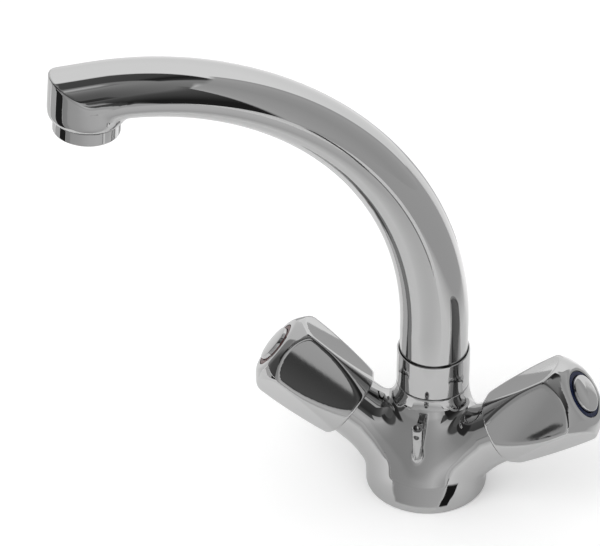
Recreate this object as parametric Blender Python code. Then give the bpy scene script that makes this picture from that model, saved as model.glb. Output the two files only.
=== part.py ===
"""Basin mixer tap: a one-hole mixer with two quarter-turn handles and a high swivel spout.

Metres, +Z up, front along -Y. The origin is the centre of the base, on the deck.
"""
from math import cos, pi, radians, sin

import bmesh
import bpy
from mathutils import Matrix, Vector

MM = 0.001
GAP = 0.3 * MM            # clearance between pieces that touch
OVERRUN = 1.0 * MM        # how far a cutter runs past what it cuts
STEP_GAP = 0.02 * MM      # running clearance that only keeps two round faces apart
WELD = 0.001 * MM         # points of a cut that are closer than this are one point

# Facets round each kind of turned piece
SIDES_LARGE = 32
SIDES_RING = 20
SIDES_SMALL = 16
SIDES_TINY = 12
SIDES_SEAL = 6

# Base and bell of the body
BASE_RADIUS = 24.0 * MM
BASE_EDGE = 0.8 * MM
FOOT_HEIGHT = 6.0 * MM
NECK_RADIUS = 14.4 * MM
NECK_SETBACK = 8.3 * MM
NECK_TOP = 43.0 * MM
BELL_RINGS = 10

# Threaded end of the neck, inside the collar
THREAD_RADIUS = 12.7 * MM
THREAD_TOP = 52.0 * MM
NECK_BORE_RADIUS = 9.7 * MM
NECK_BORE_FLOOR = 28.0 * MM

# Collar that holds the spout down
COLLAR_RADIUS = 14.4 * MM
COLLAR_BOTTOM = NECK_TOP + GAP
COLLAR_TOP = 58.7 * MM
COLLAR_CHAMFER = 0.3 * MM
COLLAR_LIP_THICKNESS = 1.5 * MM
COLLAR_LIP_BORE = 11.0 * MM
COLLAR_RECESS_DEPTH = 1.6 * MM

# Rings between the spout's tail and the neck
GLIDE_RING_THICKNESS = 1.0 * MM
RETAINING_RING_THICKNESS = 1.4 * MM
RETAINING_GROOVE_RADIUS = 8.3 * MM
RETAINING_SPLIT = 2.4 * MM

# Spout: a tube that rises, then follows a quarter circle and runs on into the nozzle
SPOUT_RADIUS = 13.45 * MM
SPOUT_WALL = 1.6 * MM
SPOUT_BEND_START = 71.0 * MM
SPOUT_BEND_RADIUS = 133.5 * MM
SPOUT_SWING = radians(58.5)
SPOUT_END_HALF_WIDTH = 14.6 * MM
SPOUT_END_HALF_HEIGHT = 9.2 * MM
SPOUT_RINGS = 22
SPOUT_SIDES = 26
SPOUT_BORE_SIDES = 12

# Spout's tail, which turns in the neck's bore
TAIL_RADIUS = 9.4 * MM
TAIL_BORE_RADIUS = 6.2 * MM
TAIL_BOTTOM = 33.0 * MM
TAIL_RING_WIDTH = 2.4 * MM
TAIL_RING_GROOVE_RADIUS = 7.9 * MM
TAIL_LOWER_RING = 37.5 * MM
TAIL_UPPER_RING = 44.5 * MM

# Nozzle at the spout's end, on an axis that leans outward a little
NOZZLE_OVERHANG = 2.9 * MM
NOZZLE_HEIGHT = 9.8 * MM
NOZZLE_REACH = SPOUT_BEND_RADIUS + NOZZLE_OVERHANG
NOZZLE_MOUTH_HEIGHT = SPOUT_BEND_START + SPOUT_BEND_RADIUS - NOZZLE_HEIGHT
NOZZLE_LEAN = radians(4.0)
NOZZLE_MOUTH_RADIUS = 13.2 * MM
NOZZLE_TOP_RADIUS = 14.9 * MM
NOZZLE_SWELL_SHARES = ((0.27, 0.53), (0.53, 0.82))    # of the height, of the widening
NOZZLE_BORE_RADIUS = 12.0 * MM
NOZZLE_BORE_DEPTH = 9.0 * MM

# Aerator
AERATOR_RADIUS = 12.6 * MM
AERATOR_SHOWING = 5.3 * MM
AERATOR_THREAD_RADIUS = NOZZLE_BORE_RADIUS - GAP
AERATOR_THREAD_LENGTH = 5.4 * MM
AERATOR_WALL = 1.3 * MM
AERATOR_LIP = 1.2 * MM
AERATOR_CELL_RADIUS = 1.2 * MM
AERATOR_CELL_CIRCLE = 5.6 * MM
AERATOR_CELLS = 8
AERATOR_CELL_SIDES = 8
AERATOR_MIDDLE_SIDES = 12
AERATOR_WASHER_THICKNESS = 1.5 * MM

# Arms: both axes cross at the arm root, and t is the distance along an axis from there
ARM_ROOT_HEIGHT = 8.1 * MM
ARM_TILT = radians(36.4)
ARM_RADIUS = 12.6 * MM
ARM_FLARE_RADIUS = 15.4 * MM
ARM_START_T = 12.0 * MM
ARM_FLARE_END_T = 32.0 * MM
ARM_FLARE_SHARES = (0, 0.3, 0.55, 0.8, 1)
ARM_END_T = 47.0 * MM

# Valve cavity in each arm, and the waterways
CAVITY_RADIUS = 8.2 * MM
CAVITY_FLOOR_T = 26.3 * MM
GALLERY_RADIUS = 9.0 * MM
GALLERY_START_T = 33.0 * MM
GALLERY_END_T = 42.0 * MM
INLET_SPACING = 22.0 * MM
INLET_RADIUS = 4.8 * MM
INLET_DEPTH = 17.0 * MM
INLET_PASSAGE_RADIUS = 3.5 * MM
INLET_PASSAGE_START_T = 11.0 * MM
INLET_SEAT_RADIUS = 6.9 * MM
INLET_SEAT_DEPTH = 1.5 * MM
OUTLET_PASSAGE_RADIUS = 2.4 * MM
OUTLET_PASSAGE_HEIGHT = 30.5 * MM

# Underside: stud hole and seal groove
STUD_HOLE_RADIUS = 4.0 * MM
STUD_HOLE_DEPTH = 14.0 * MM
STUD_HOLE_SETBACK = 12.5 * MM
SEAL_RADIUS = 20.4 * MM
SEAL_WIDTH = 2.2 * MM
SEAL_THICKNESS = 1.5 * MM

# Chain lug on the body's front: an upright eye on a web
LUG_FOOT_RADIUS = 1.9 * MM
LUG_EYE_RADIUS = 2.3 * MM
LUG_TOP = 37.4 * MM
LUG_BOTTOM = 20.8 * MM
LUG_LEAN = 1.4 * MM
LUG_WEB_WIDTH = 2.6 * MM
LUG_WEB_STEP = 0.4 * MM
LUG_HOLE_RADIUS = 1.15 * MM
LUG_HOLE_DEPTH = 3.3 * MM

# Handle: its rim covers the arm's end, and s is the distance back from its end plane
HANDLE_OVERLAP = 8.7 * MM
HANDLE_LENGTH = 38.9 * MM
HANDLE_RIM_T = ARM_END_T - HANDLE_OVERLAP
HANDLE_END_T = HANDLE_RIM_T + HANDLE_LENGTH
HANDLE_FACES = 5
HANDLE_FACE_DISTANCE = 15.7 * MM
HANDLE_FACE_RIM_DISTANCE = 15.05 * MM
HANDLE_FLAT_RADIUS = 12.3 * MM
HANDLE_MAX_RADIUS = 19.0 * MM
HANDLE_MAX_S = 8.0 * MM
HANDLE_MIDDLE_RADIUS = 18.3 * MM
HANDLE_MIDDLE_S = 20.0 * MM
HANDLE_RIM_RADIUS = 15.2 * MM
HANDLE_RIM_EDGE = 1.0 * MM
HANDLE_SHOULDER_SHARES = (0.2, 0.4, 0.6, 0.8, 1)
HANDLE_TAPER_SHARES = (0.5,)
HOT_HANDLE_TURN = radians(38.0)
COLD_HANDLE_TURN = radians(25.0)

# Inside of the handle
SKIRT_CLEARANCE = 0.4 * MM
SKIRT_DEPTH = 11.0 * MM
HEADWORK_ROOM_RADIUS = 11.4 * MM
HEADWORK_ROOM_LENGTH = 12.0 * MM
SOCKET_CAP = 8.2 * MM
SCREW_SEAT_CAP = 6.4 * MM
CAP_RECESS_DEPTH = 3.4 * MM
WEB_T = ARM_END_T + HEADWORK_ROOM_LENGTH
SOCKET_TOP_T = HANDLE_END_T - SOCKET_CAP
SCREW_SEAT_T = HANDLE_END_T - SCREW_SEAT_CAP

# Index ring and cap in the handle's end
INDEX_RADIUS = 9.5 * MM
INDEX_RING_WIDTH = 1.7 * MM
INDEX_RING_HEIGHT = 3.1 * MM
CAP_EDGE_HEIGHT = 4.3 * MM
CAP_DOME = 0.8 * MM
CAP_DOME_DEGREES = (30, 60)

# Handle screw
SCREW_HEAD_RADIUS = 3.6 * MM
SCREW_HEAD_HEIGHT = 2.3 * MM
SCREW_SHANK_RADIUS = 1.9 * MM
SCREW_LENGTH = 9.0 * MM
SCREW_SLOT_WIDTH = 0.9 * MM
SCREW_SLOT_DEPTH = 1.0 * MM

# Valve body (headwork)
VALVE_BARREL_RADIUS = CAVITY_RADIUS - GAP
VALVE_HEX_FLATS = 19.0 * MM
VALVE_HEX_THICKNESS = 4.2 * MM
VALVE_NECK_RADIUS = 6.2 * MM
VALVE_NECK_END_T = 56.0 * MM
VALVE_CHAMBER_RADIUS = 6.6 * MM
VALVE_CHAMBER_TOP_T = 40.3 * MM
VALVE_WINDOW_RADIUS = 2.2 * MM

# Valve spindle
SPINDLE_RADIUS = 4.0 * MM
SPINDLE_DRIVER_THICKNESS = 2.2 * MM
SPINDLE_SHOULDER_THICKNESS = 1.8 * MM
SPINDLE_SHOULDER_RADIUS = 5.8 * MM
SPINDLE_SEAL_T = 49.0 * MM
SPINDLE_SEAL_WIDTH = 1.9 * MM
SPINDLE_SEAL_GROOVE = 0.9 * MM
CIRCLIP_THICKNESS = 0.9 * MM
CIRCLIP_RADIUS = 5.8 * MM
CIRCLIP_GROOVE = 0.7 * MM
CIRCLIP_SPLIT = 2.0 * MM

# Ceramic discs and the seal under them
SEAT_SEAL_THICKNESS = 1.6 * MM
SEAT_SEAL_BORE = 4.1 * MM
DISC_THICKNESS = 2.0 * MM
DISC_PORT_INNER = 1.7 * MM
DISC_PORT_OUTER = 4.9 * MM
DISC_PORT_ANGLE = radians(76.0)
DISC_PORT_STEPS = 6

CHROME = ((0.62, 0.63, 0.64), 0.08, 1.0)
BRASS = ((0.66, 0.50, 0.24), 0.32, 1.0)
RED = ((0.16, 0.012, 0.016), 0.35, 0.0)
BLUE = ((0.006, 0.014, 0.075), 0.35, 0.0)
RUBBER = ((0.02, 0.02, 0.02), 0.75, 0.0)
WHITE_PLASTIC = ((0.75, 0.75, 0.73), 0.45, 0.0)
CERAMIC = ((0.82, 0.80, 0.76), 0.25, 0.0)
STEEL = ((0.50, 0.51, 0.52), 0.30, 1.0)


def clear_scene():
    for old in list(bpy.data.objects):
        bpy.data.objects.remove(old, do_unlink=True)


def finish_piece(obj, name, look):
    """Name a piece, give it its own material and shade its round faces smooth."""
    obj.name = obj.data.name = name
    colour, roughness, metallic = look
    material = bpy.data.materials.new(name)
    material.use_nodes = True
    shader = material.node_tree.nodes["Principled BSDF"]
    shader.inputs["Base Color"].default_value = (*colour, 1.0)
    shader.inputs["Roughness"].default_value = roughness
    shader.inputs["Metallic"].default_value = metallic
    obj.data.materials.clear()
    obj.data.materials.append(material)
    obj.data.shade_smooth()
    obj.data.set_sharp_from_angle(angle=radians(35.0))
    return obj


def mesh_object(bm, name):
    mesh = bpy.data.meshes.new(name)
    bmesh.ops.recalc_face_normals(bm, faces=bm.faces)
    bm.to_mesh(mesh)
    bm.free()
    obj = bpy.data.objects.new(name, mesh)
    bpy.context.scene.collection.objects.link(obj)
    return obj


def skin_rings(rings, name, loop=False):
    """Closed solid through rings of points; the first and last ring are filled unless it loops."""
    bm = bmesh.new()
    verts = [[bm.verts.new(point) for point in ring] for ring in rings]
    count = len(rings[0])
    pairs = list(zip(verts, verts[1:]))
    if loop:
        pairs.append((verts[-1], verts[0]))
    for low, high in pairs:
        for i in range(count):
            j = (i + 1) % count
            bm.faces.new((low[i], low[j], high[j], high[i]))
    if not loop:
        bm.faces.new(verts[0])
        bm.faces.new(verts[-1])
    return mesh_object(bm, name)


def turned(profile, name, sides=SIDES_LARGE, hollow=False):
    """Turn (radius, height) points about Z. A hollow profile is a closed section off the axis."""
    rings = [
        [(radius * cos(2 * pi * i / sides), radius * sin(2 * pi * i / sides), height)
         for i in range(sides)]
        for radius, height in profile
    ]
    return skin_rings(rings, name, loop=hollow)


def tube_section(inner, outer, low, high):
    return [(inner, low), (outer, low), (outer, high), (inner, high)]


def rod(radius, low, high, name="rod", sides=SIDES_SMALL):
    return turned([(radius, low), (radius, high)], name, sides)


def block(size, centre, name="block"):
    bm = bmesh.new()
    bmesh.ops.create_cube(bm, size=1.0)
    bmesh.ops.scale(bm, vec=size, verts=bm.verts)
    bmesh.ops.translate(bm, vec=centre, verts=bm.verts)
    return mesh_object(bm, name)


def prism(outline, low, high, name="prism"):
    return skin_rings([[(x, y, z) for x, y in outline] for z in (low, high)], name)


def place(obj, matrix):
    obj.data.transform(matrix)
    return obj


def weld(obj):
    bm = bmesh.new()
    bm.from_mesh(obj.data)
    bmesh.ops.remove_doubles(bm, verts=bm.verts, dist=WELD)
    bm.to_mesh(obj.data)
    bm.free()


def combine(target, others, operation):
    """Apply booleans one after another, and remove the other solids."""
    for other in others:
        modifier = target.modifiers.new("combine", 'BOOLEAN')
        modifier.operation = operation
        modifier.solver = 'EXACT'
        modifier.object = other
        other.hide_render = True
        other.display_type = 'WIRE'
        bpy.context.view_layer.update()
        evaluated = target.evaluated_get(bpy.context.evaluated_depsgraph_get())
        result = bpy.data.meshes.new_from_object(evaluated)
        target.modifiers.clear()
        old = target.data
        target.data = result
        bpy.data.meshes.remove(old)
        bpy.data.objects.remove(other, do_unlink=True)
        weld(target)
    return target


def cut(target, *cutters):
    return combine(target, cutters, 'DIFFERENCE')


def join(target, *others):
    return combine(target, others, 'UNION')


def keep_inside(target, *others):
    return combine(target, others, 'INTERSECT')


def along(start, end):
    """Matrix that sends +Z from the origin to the line from start towards end."""
    direction = Vector(end) - Vector(start)
    return Matrix.Translation(start) @ direction.to_track_quat('Z', 'Y').to_matrix().to_4x4()


def passage(start, end, radius):
    length = (Vector(end) - Vector(start)).length
    return place(rod(radius, 0, length, "passage"), along(start, end))


def arm_matrix(side):
    """Local +Z runs out along an arm, local -Y faces the front, and z is the distance t."""
    tilt = Matrix.Rotation(side * (pi / 2 - ARM_TILT), 4, 'Y')
    return Matrix.Translation((0, 0, ARM_ROOT_HEIGHT)) @ tilt


def arm_point(side, t, rise=0):
    """A point at distance t along an arm's axis, and rise above it across the axis."""
    return Vector((side * (t * cos(ARM_TILT) - rise * sin(ARM_TILT)), 0,
                   ARM_ROOT_HEIGHT + t * sin(ARM_TILT) + rise * cos(ARM_TILT)))


def smooth_step(share):
    return share * share * (3 - 2 * share)


# Body

def bell_ring(height):
    """Centre and radius of the bell at a height: upright at the foot, drawn in to the neck."""
    share = max(0, (height - FOOT_HEIGHT) / (NECK_TOP - FOOT_HEIGHT))
    blend = smooth_step(share)
    return NECK_SETBACK * blend, BASE_RADIUS + (NECK_RADIUS - BASE_RADIUS) * blend


def bell():
    heights = [BASE_EDGE] + [FOOT_HEIGHT + (NECK_TOP - FOOT_HEIGHT) * i / BELL_RINGS
                             for i in range(BELL_RINGS + 1)]
    sections = [(0, 0, BASE_RADIUS - BASE_EDGE)]
    sections += [(height, *bell_ring(height)) for height in heights]
    sections += [(NECK_TOP, NECK_SETBACK, THREAD_RADIUS), (THREAD_TOP, NECK_SETBACK, THREAD_RADIUS)]
    rings = [
        [(radius * cos(2 * pi * i / SIDES_LARGE), centre + radius * sin(2 * pi * i / SIDES_LARGE), z)
         for i in range(SIDES_LARGE)]
        for z, centre, radius in sections
    ]
    return skin_rings(rings, "bell")


def arm(side):
    flare = ARM_FLARE_RADIUS - ARM_RADIUS
    profile = []
    for share in ARM_FLARE_SHARES:
        t = ARM_START_T + (ARM_FLARE_END_T - ARM_START_T) * share
        profile.append((ARM_RADIUS + flare * (1 - smooth_step(share)), t))
    profile += [(ARM_RADIUS, ARM_END_T - BASE_EDGE), (ARM_RADIUS - BASE_EDGE, ARM_END_T)]
    return place(turned(profile, "arm"), arm_matrix(side))


def chain_lug():
    """Eye that stands almost upright in front of the bell, and the web that carries it."""
    centre, radius = bell_ring(LUG_BOTTOM)
    foot_y = centre - radius + LUG_FOOT_RADIUS
    foot = Vector((0, foot_y, LUG_BOTTOM - LUG_EYE_RADIUS))
    tip = Vector((0, foot_y - LUG_LEAN, LUG_TOP))
    post = place(turned([(LUG_FOOT_RADIUS, 0), (LUG_EYE_RADIUS, (tip - foot).length)], "post",
                        SIDES_TINY), along(foot, tip))
    top_centre, top_radius = bell_ring(LUG_TOP)
    half = LUG_WEB_WIDTH / 2
    back = top_centre - top_radius / 2
    web = prism([(-half, foot_y), (half, foot_y), (half, back), (-half, back)],
                LUG_BOTTOM, LUG_TOP - LUG_WEB_STEP, "web")
    eye = tip - (tip - foot).normalized() * LUG_HOLE_DEPTH
    front = eye - Vector((0, 2 * LUG_EYE_RADIUS, 0))
    holes = (passage(eye, tip + (tip - eye), LUG_HOLE_RADIUS), passage(front, eye, LUG_HOLE_RADIUS))
    return post, web, holes


def waterways(side):
    """Inlet port from the underside, valve cavity in the arm, and outlet to the neck's bore."""
    inlet_x = side * INLET_SPACING / 2
    port = place(rod(INLET_RADIUS, -OVERRUN, INLET_DEPTH), Matrix.Translation((inlet_x, 0, 0)))
    seat = place(rod(INLET_SEAT_RADIUS, -OVERRUN, INLET_SEAT_DEPTH),
                 Matrix.Translation((inlet_x, 0, 0)))
    feed = place(rod(INLET_PASSAGE_RADIUS, INLET_PASSAGE_START_T, CAVITY_FLOOR_T + OVERRUN),
                 arm_matrix(side))
    cavity = place(turned([
        (CAVITY_RADIUS, CAVITY_FLOOR_T),
        (CAVITY_RADIUS, GALLERY_START_T), (GALLERY_RADIUS, GALLERY_START_T),
        (GALLERY_RADIUS, GALLERY_END_T), (CAVITY_RADIUS, GALLERY_END_T),
        (CAVITY_RADIUS, ARM_END_T + OVERRUN)], "cavity", SIDES_SMALL), arm_matrix(side))
    outlet = passage(arm_point(side, GALLERY_START_T + OUTLET_PASSAGE_RADIUS, CAVITY_RADIUS / 2),
                     (0, NECK_SETBACK, OUTLET_PASSAGE_HEIGHT), OUTLET_PASSAGE_RADIUS)
    return port, seat, feed, cavity, outlet


def make_body():
    body = join(bell(), arm(1), arm(-1))
    post, web, lug_holes = chain_lug()
    body = join(body, web, post)
    neck_bore = place(rod(NECK_BORE_RADIUS, NECK_BORE_FLOOR, THREAD_TOP + OVERRUN, sides=SIDES_RING),
                      Matrix.Translation((0, NECK_SETBACK, 0)))
    stud_hole = place(rod(STUD_HOLE_RADIUS, -OVERRUN, STUD_HOLE_DEPTH),
                      Matrix.Translation((0, -STUD_HOLE_SETBACK, 0)))
    groove_half = SEAL_WIDTH / 2 + GAP
    groove = turned(tube_section(SEAL_RADIUS - groove_half, SEAL_RADIUS + groove_half,
                                 -OVERRUN, SEAL_THICKNESS + GAP), "groove", hollow=True)
    cut(body, *lug_holes, neck_bore, stud_hole, groove, *waterways(1), *waterways(-1))
    return finish_piece(body, "body", CHROME)


def make_base_seal():
    seal = turned(tube_section(SEAL_RADIUS - SEAL_WIDTH / 2, SEAL_RADIUS + SEAL_WIDTH / 2,
                               0, SEAL_THICKNESS), "seal", hollow=True)
    return finish_piece(seal, "base_seal", RUBBER)


# Collar and the rings that hold the spout

LIP_TOP = COLLAR_TOP - COLLAR_RECESS_DEPTH
LIP_BOTTOM = LIP_TOP - COLLAR_LIP_THICKNESS
RETAINING_TOP = LIP_BOTTOM - GAP
RETAINING_BOTTOM = RETAINING_TOP - RETAINING_RING_THICKNESS
GLIDE_BOTTOM = THREAD_TOP + GAP
NECK_AXIS = Matrix.Translation((0, NECK_SETBACK, 0))


def make_collar():
    thread_bore = THREAD_RADIUS + GAP
    spout_recess = SPOUT_RADIUS + GAP
    profile = [
        (thread_bore, COLLAR_BOTTOM), (COLLAR_RADIUS, COLLAR_BOTTOM),
        (COLLAR_RADIUS, COLLAR_TOP - COLLAR_CHAMFER), (COLLAR_RADIUS - COLLAR_CHAMFER, COLLAR_TOP),
        (spout_recess, COLLAR_TOP), (spout_recess, LIP_TOP), (COLLAR_LIP_BORE, LIP_TOP),
        (COLLAR_LIP_BORE, LIP_BOTTOM), (thread_bore, LIP_BOTTOM),
    ]
    collar = place(turned(profile, "collar", hollow=True), NECK_AXIS)
    return finish_piece(collar, "spout_collar", CHROME)


def make_glide_ring():
    ring = turned(tube_section(TAIL_RADIUS + GAP, THREAD_RADIUS, GLIDE_BOTTOM,
                               GLIDE_BOTTOM + GLIDE_RING_THICKNESS), "ring", SIDES_RING, hollow=True)
    return finish_piece(place(ring, NECK_AXIS), "spout_glide_ring", WHITE_PLASTIC)


def make_retaining_ring():
    ring = turned(tube_section(RETAINING_GROOVE_RADIUS + GAP, THREAD_RADIUS,
                               RETAINING_BOTTOM, RETAINING_TOP), "ring", SIDES_RING, hollow=True)
    split = block((RETAINING_SPLIT, 2 * THREAD_RADIUS, 4 * RETAINING_RING_THICKNESS),
                  (0, THREAD_RADIUS, RETAINING_BOTTOM))
    cut(ring, split)
    return finish_piece(place(ring, NECK_AXIS), "spout_retaining_ring", BRASS)


# Spout

SWING = Matrix.Rotation(-SPOUT_SWING, 4, 'Z')
SPOUT_BOTTOM = LIP_TOP + GAP


def spout_station(travel):
    """Point in the spout's plane at a distance along the centreline, and the tangent's angle."""
    rise = SPOUT_BEND_START - SPOUT_BOTTOM
    bend = SPOUT_BEND_RADIUS * pi / 2
    if travel <= rise:
        return 0, SPOUT_BOTTOM + travel, 0
    if travel <= rise + bend:
        angle = (travel - rise) / SPOUT_BEND_RADIUS
        return (SPOUT_BEND_RADIUS * (1 - cos(angle)),
                SPOUT_BEND_START + SPOUT_BEND_RADIUS * sin(angle), angle)
    return (SPOUT_BEND_RADIUS + travel - rise - bend,
            SPOUT_BEND_START + SPOUT_BEND_RADIUS, pi / 2)


def spout_tube(inset, sides, name, overrun=0):
    """Loft along the centreline, round at the neck and drawn to a flat oval at the nozzle."""
    length = (SPOUT_BEND_START - SPOUT_BOTTOM + SPOUT_BEND_RADIUS * pi / 2
              + 2 * SPOUT_END_HALF_WIDTH)
    rings = []
    for i in range(SPOUT_RINGS + 1):
        travel = length * i / SPOUT_RINGS
        if i == 0:
            travel = -overrun
        reach, height, angle = spout_station(travel)
        blend = smooth_step(angle / (pi / 2))
        across = SPOUT_RADIUS + (SPOUT_END_HALF_WIDTH - SPOUT_RADIUS) * blend - inset
        deep = SPOUT_RADIUS + (SPOUT_END_HALF_HEIGHT - SPOUT_RADIUS) * blend - inset
        ring = []
        for k in range(sides):
            turn = 2 * pi * k / sides
            out = deep * sin(turn)
            ring.append((across * cos(turn), -(reach - out * cos(angle)),
                         height + out * sin(angle)))
        rings.append(ring)
    return skin_rings(rings, name)


NOZZLE_AXIS = (Matrix.Translation((0, -NOZZLE_REACH, NOZZLE_MOUTH_HEIGHT))
               @ Matrix.Rotation(-NOZZLE_LEAN, 4, 'X'))


def nozzle_keep():
    """Solid that the spout's end is trimmed to: round about the nozzle, open towards the neck."""
    radius = NOZZLE_TOP_RADIUS
    reach = NOZZLE_REACH + NOZZLE_MOUTH_HEIGHT
    outline = [(radius * cos(pi * i / SPOUT_SIDES), -radius * sin(pi * i / SPOUT_SIDES))
               for i in range(SPOUT_SIDES + 1)]
    outline += [(-radius, reach), (radius, reach)]
    low = -NOZZLE_MOUTH_HEIGHT - SPOUT_RADIUS
    keep = prism(outline, low, NOZZLE_HEIGHT + 2 * SPOUT_END_HALF_HEIGHT, "keep")
    return place(keep, NOZZLE_AXIS)


def make_spout():
    spout = keep_inside(spout_tube(0, SPOUT_SIDES, "spout"), nozzle_keep())
    top_radius = NOZZLE_TOP_RADIUS - STEP_GAP
    profile = [(NOZZLE_MOUTH_RADIUS, 0)]
    for height_share, swell_share in NOZZLE_SWELL_SHARES:
        profile.append((NOZZLE_MOUTH_RADIUS + (top_radius - NOZZLE_MOUTH_RADIUS) * swell_share,
                        NOZZLE_HEIGHT * height_share))
    profile.append((top_radius, NOZZLE_HEIGHT))
    nozzle = place(turned(profile, "nozzle"), NOZZLE_AXIS)
    tail = turned([
        (TAIL_RADIUS, TAIL_BOTTOM),
        *groove_profile(TAIL_LOWER_RING), *groove_profile(TAIL_UPPER_RING),
        (TAIL_RADIUS, RETAINING_BOTTOM - GAP), (RETAINING_GROOVE_RADIUS, RETAINING_BOTTOM - GAP),
        (RETAINING_GROOVE_RADIUS, RETAINING_TOP + GAP), (TAIL_RADIUS, RETAINING_TOP + GAP),
        (TAIL_RADIUS, SPOUT_BOTTOM + SPOUT_WALL)], "tail", SIDES_RING)
    join(spout, nozzle, tail)
    bore = spout_tube(SPOUT_WALL, SPOUT_BORE_SIDES, "bore")
    end_wall = prism([
        (-2 * SPOUT_RADIUS, 2 * SPOUT_BEND_RADIUS), (2 * SPOUT_RADIUS, 2 * SPOUT_BEND_RADIUS),
        (2 * SPOUT_RADIUS, -NOZZLE_BORE_RADIUS / 2), (-2 * SPOUT_RADIUS, -NOZZLE_BORE_RADIUS / 2)],
        -NOZZLE_MOUTH_HEIGHT + SPOUT_BOTTOM + 2 * SPOUT_WALL, 2 * NOZZLE_HEIGHT, "end_wall")
    keep_inside(bore, place(end_wall, Matrix.Translation((0, -NOZZLE_REACH, NOZZLE_MOUTH_HEIGHT))))
    shelf = prism([
        (-2 * SPOUT_RADIUS, -2 * NOZZLE_BORE_RADIUS), (2 * SPOUT_RADIUS, -2 * NOZZLE_BORE_RADIUS),
        (2 * SPOUT_RADIUS, NOZZLE_BORE_RADIUS + 2 * SPOUT_WALL),
        (-2 * SPOUT_RADIUS, NOZZLE_BORE_RADIUS + 2 * SPOUT_WALL)],
        -2 * SPOUT_RADIUS, AERATOR_THREAD_LENGTH + AERATOR_WASHER_THICKNESS, "shelf")
    cut(bore, place(shelf, NOZZLE_AXIS))
    tail_bore = rod(TAIL_BORE_RADIUS, TAIL_BOTTOM - OVERRUN, SPOUT_BOTTOM + 3 * SPOUT_WALL,
                    sides=SPOUT_BORE_SIDES)
    throat = place(turned([
        (NOZZLE_BORE_RADIUS, -OVERRUN), (NOZZLE_BORE_RADIUS, NOZZLE_BORE_DEPTH),
        (NOZZLE_BORE_RADIUS - 2 * SPOUT_WALL, NOZZLE_BORE_DEPTH),
        (NOZZLE_BORE_RADIUS - 2 * SPOUT_WALL, NOZZLE_HEIGHT)], "throat", SIDES_RING), NOZZLE_AXIS)
    cut(spout, bore, tail_bore, throat)
    return finish_piece(place(spout, NECK_AXIS @ SWING), "spout", CHROME)


def groove_profile(bottom):
    return [(TAIL_RADIUS, bottom), (TAIL_RING_GROOVE_RADIUS, bottom),
            (TAIL_RING_GROOVE_RADIUS, bottom + TAIL_RING_WIDTH),
            (TAIL_RADIUS, bottom + TAIL_RING_WIDTH)]


def seal_ring(middle_radius, section_radius, height, name, sides=SIDES_TINY):
    section = [(middle_radius + section_radius * cos(2 * pi * i / SIDES_SEAL),
                height + section_radius * sin(2 * pi * i / SIDES_SEAL)) for i in range(SIDES_SEAL)]
    return turned(section, name, sides, hollow=True)


def make_tail_ring(name, groove_bottom):
    inner = TAIL_RING_GROOVE_RADIUS + GAP / 2
    outer = NECK_BORE_RADIUS - GAP / 2
    ring = seal_ring((inner + outer) / 2, (outer - inner) / 2, groove_bottom + TAIL_RING_WIDTH / 2,
                     name, SIDES_SMALL)
    return finish_piece(place(ring, NECK_AXIS), name, RUBBER)


# Aerator

AERATOR_AXIS = NECK_AXIS @ SWING @ NOZZLE_AXIS
AERATOR_LIP_BORE = AERATOR_THREAD_RADIUS - AERATOR_WALL - AERATOR_LIP
AERATOR_INNER = AERATOR_THREAD_RADIUS - AERATOR_WALL
AERATOR_TOP = AERATOR_THREAD_LENGTH
AERATOR_FOOT = -GAP - AERATOR_SHOWING


def make_aerator_housing():
    edge = AERATOR_LIP / 2
    profile = [
        (AERATOR_LIP_BORE, AERATOR_FOOT), (AERATOR_RADIUS - edge, AERATOR_FOOT),
        (AERATOR_RADIUS, AERATOR_FOOT + edge), (AERATOR_RADIUS, -GAP),
        (AERATOR_THREAD_RADIUS, -GAP), (AERATOR_THREAD_RADIUS, AERATOR_TOP),
        (AERATOR_INNER, AERATOR_TOP), (AERATOR_INNER, AERATOR_FOOT + AERATOR_LIP),
        (AERATOR_LIP_BORE, AERATOR_FOOT + AERATOR_LIP),
    ]
    housing = place(turned(profile, "housing", hollow=True), AERATOR_AXIS)
    return finish_piece(housing, "aerator_housing", CHROME)


def make_aerator_insert():
    low = AERATOR_FOOT + AERATOR_LIP + GAP
    insert = rod(AERATOR_INNER - GAP, low, AERATOR_TOP, sides=SIDES_RING)
    nose = rod(AERATOR_LIP_BORE - GAP, low - AERATOR_LIP / 2, low + AERATOR_LIP, sides=SIDES_RING)
    join(insert, nose)
    cells = []
    for i in range(AERATOR_CELLS):
        turn = 2 * pi * i / AERATOR_CELLS
        centre = Matrix.Translation((AERATOR_CELL_CIRCLE * cos(turn),
                                     AERATOR_CELL_CIRCLE * sin(turn), 0))
        cells.append(place(rod(AERATOR_CELL_RADIUS, low - AERATOR_LIP - OVERRUN,
                               AERATOR_TOP + OVERRUN, sides=AERATOR_CELL_SIDES), centre))
    cells.append(rod(2 * AERATOR_CELL_RADIUS, low - AERATOR_LIP - OVERRUN, AERATOR_TOP + OVERRUN,
                     sides=AERATOR_MIDDLE_SIDES))
    cut(insert, *cells)
    return finish_piece(place(insert, AERATOR_AXIS), "aerator_insert", WHITE_PLASTIC)


def make_aerator_washer():
    low = AERATOR_TOP + GAP
    washer = turned(tube_section(AERATOR_INNER - AERATOR_WALL, AERATOR_THREAD_RADIUS, low,
                                 low + AERATOR_WASHER_THICKNESS), "washer", SIDES_RING, hollow=True)
    return finish_piece(place(washer, AERATOR_AXIS), "aerator_washer", RUBBER)


# Handles, built on local +Z with z as the distance t along the arm

INDEX_RECESS_RADIUS = INDEX_RADIUS + GAP
RECESS_FLOOR_T = HANDLE_END_T - CAP_RECESS_DEPTH


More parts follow.
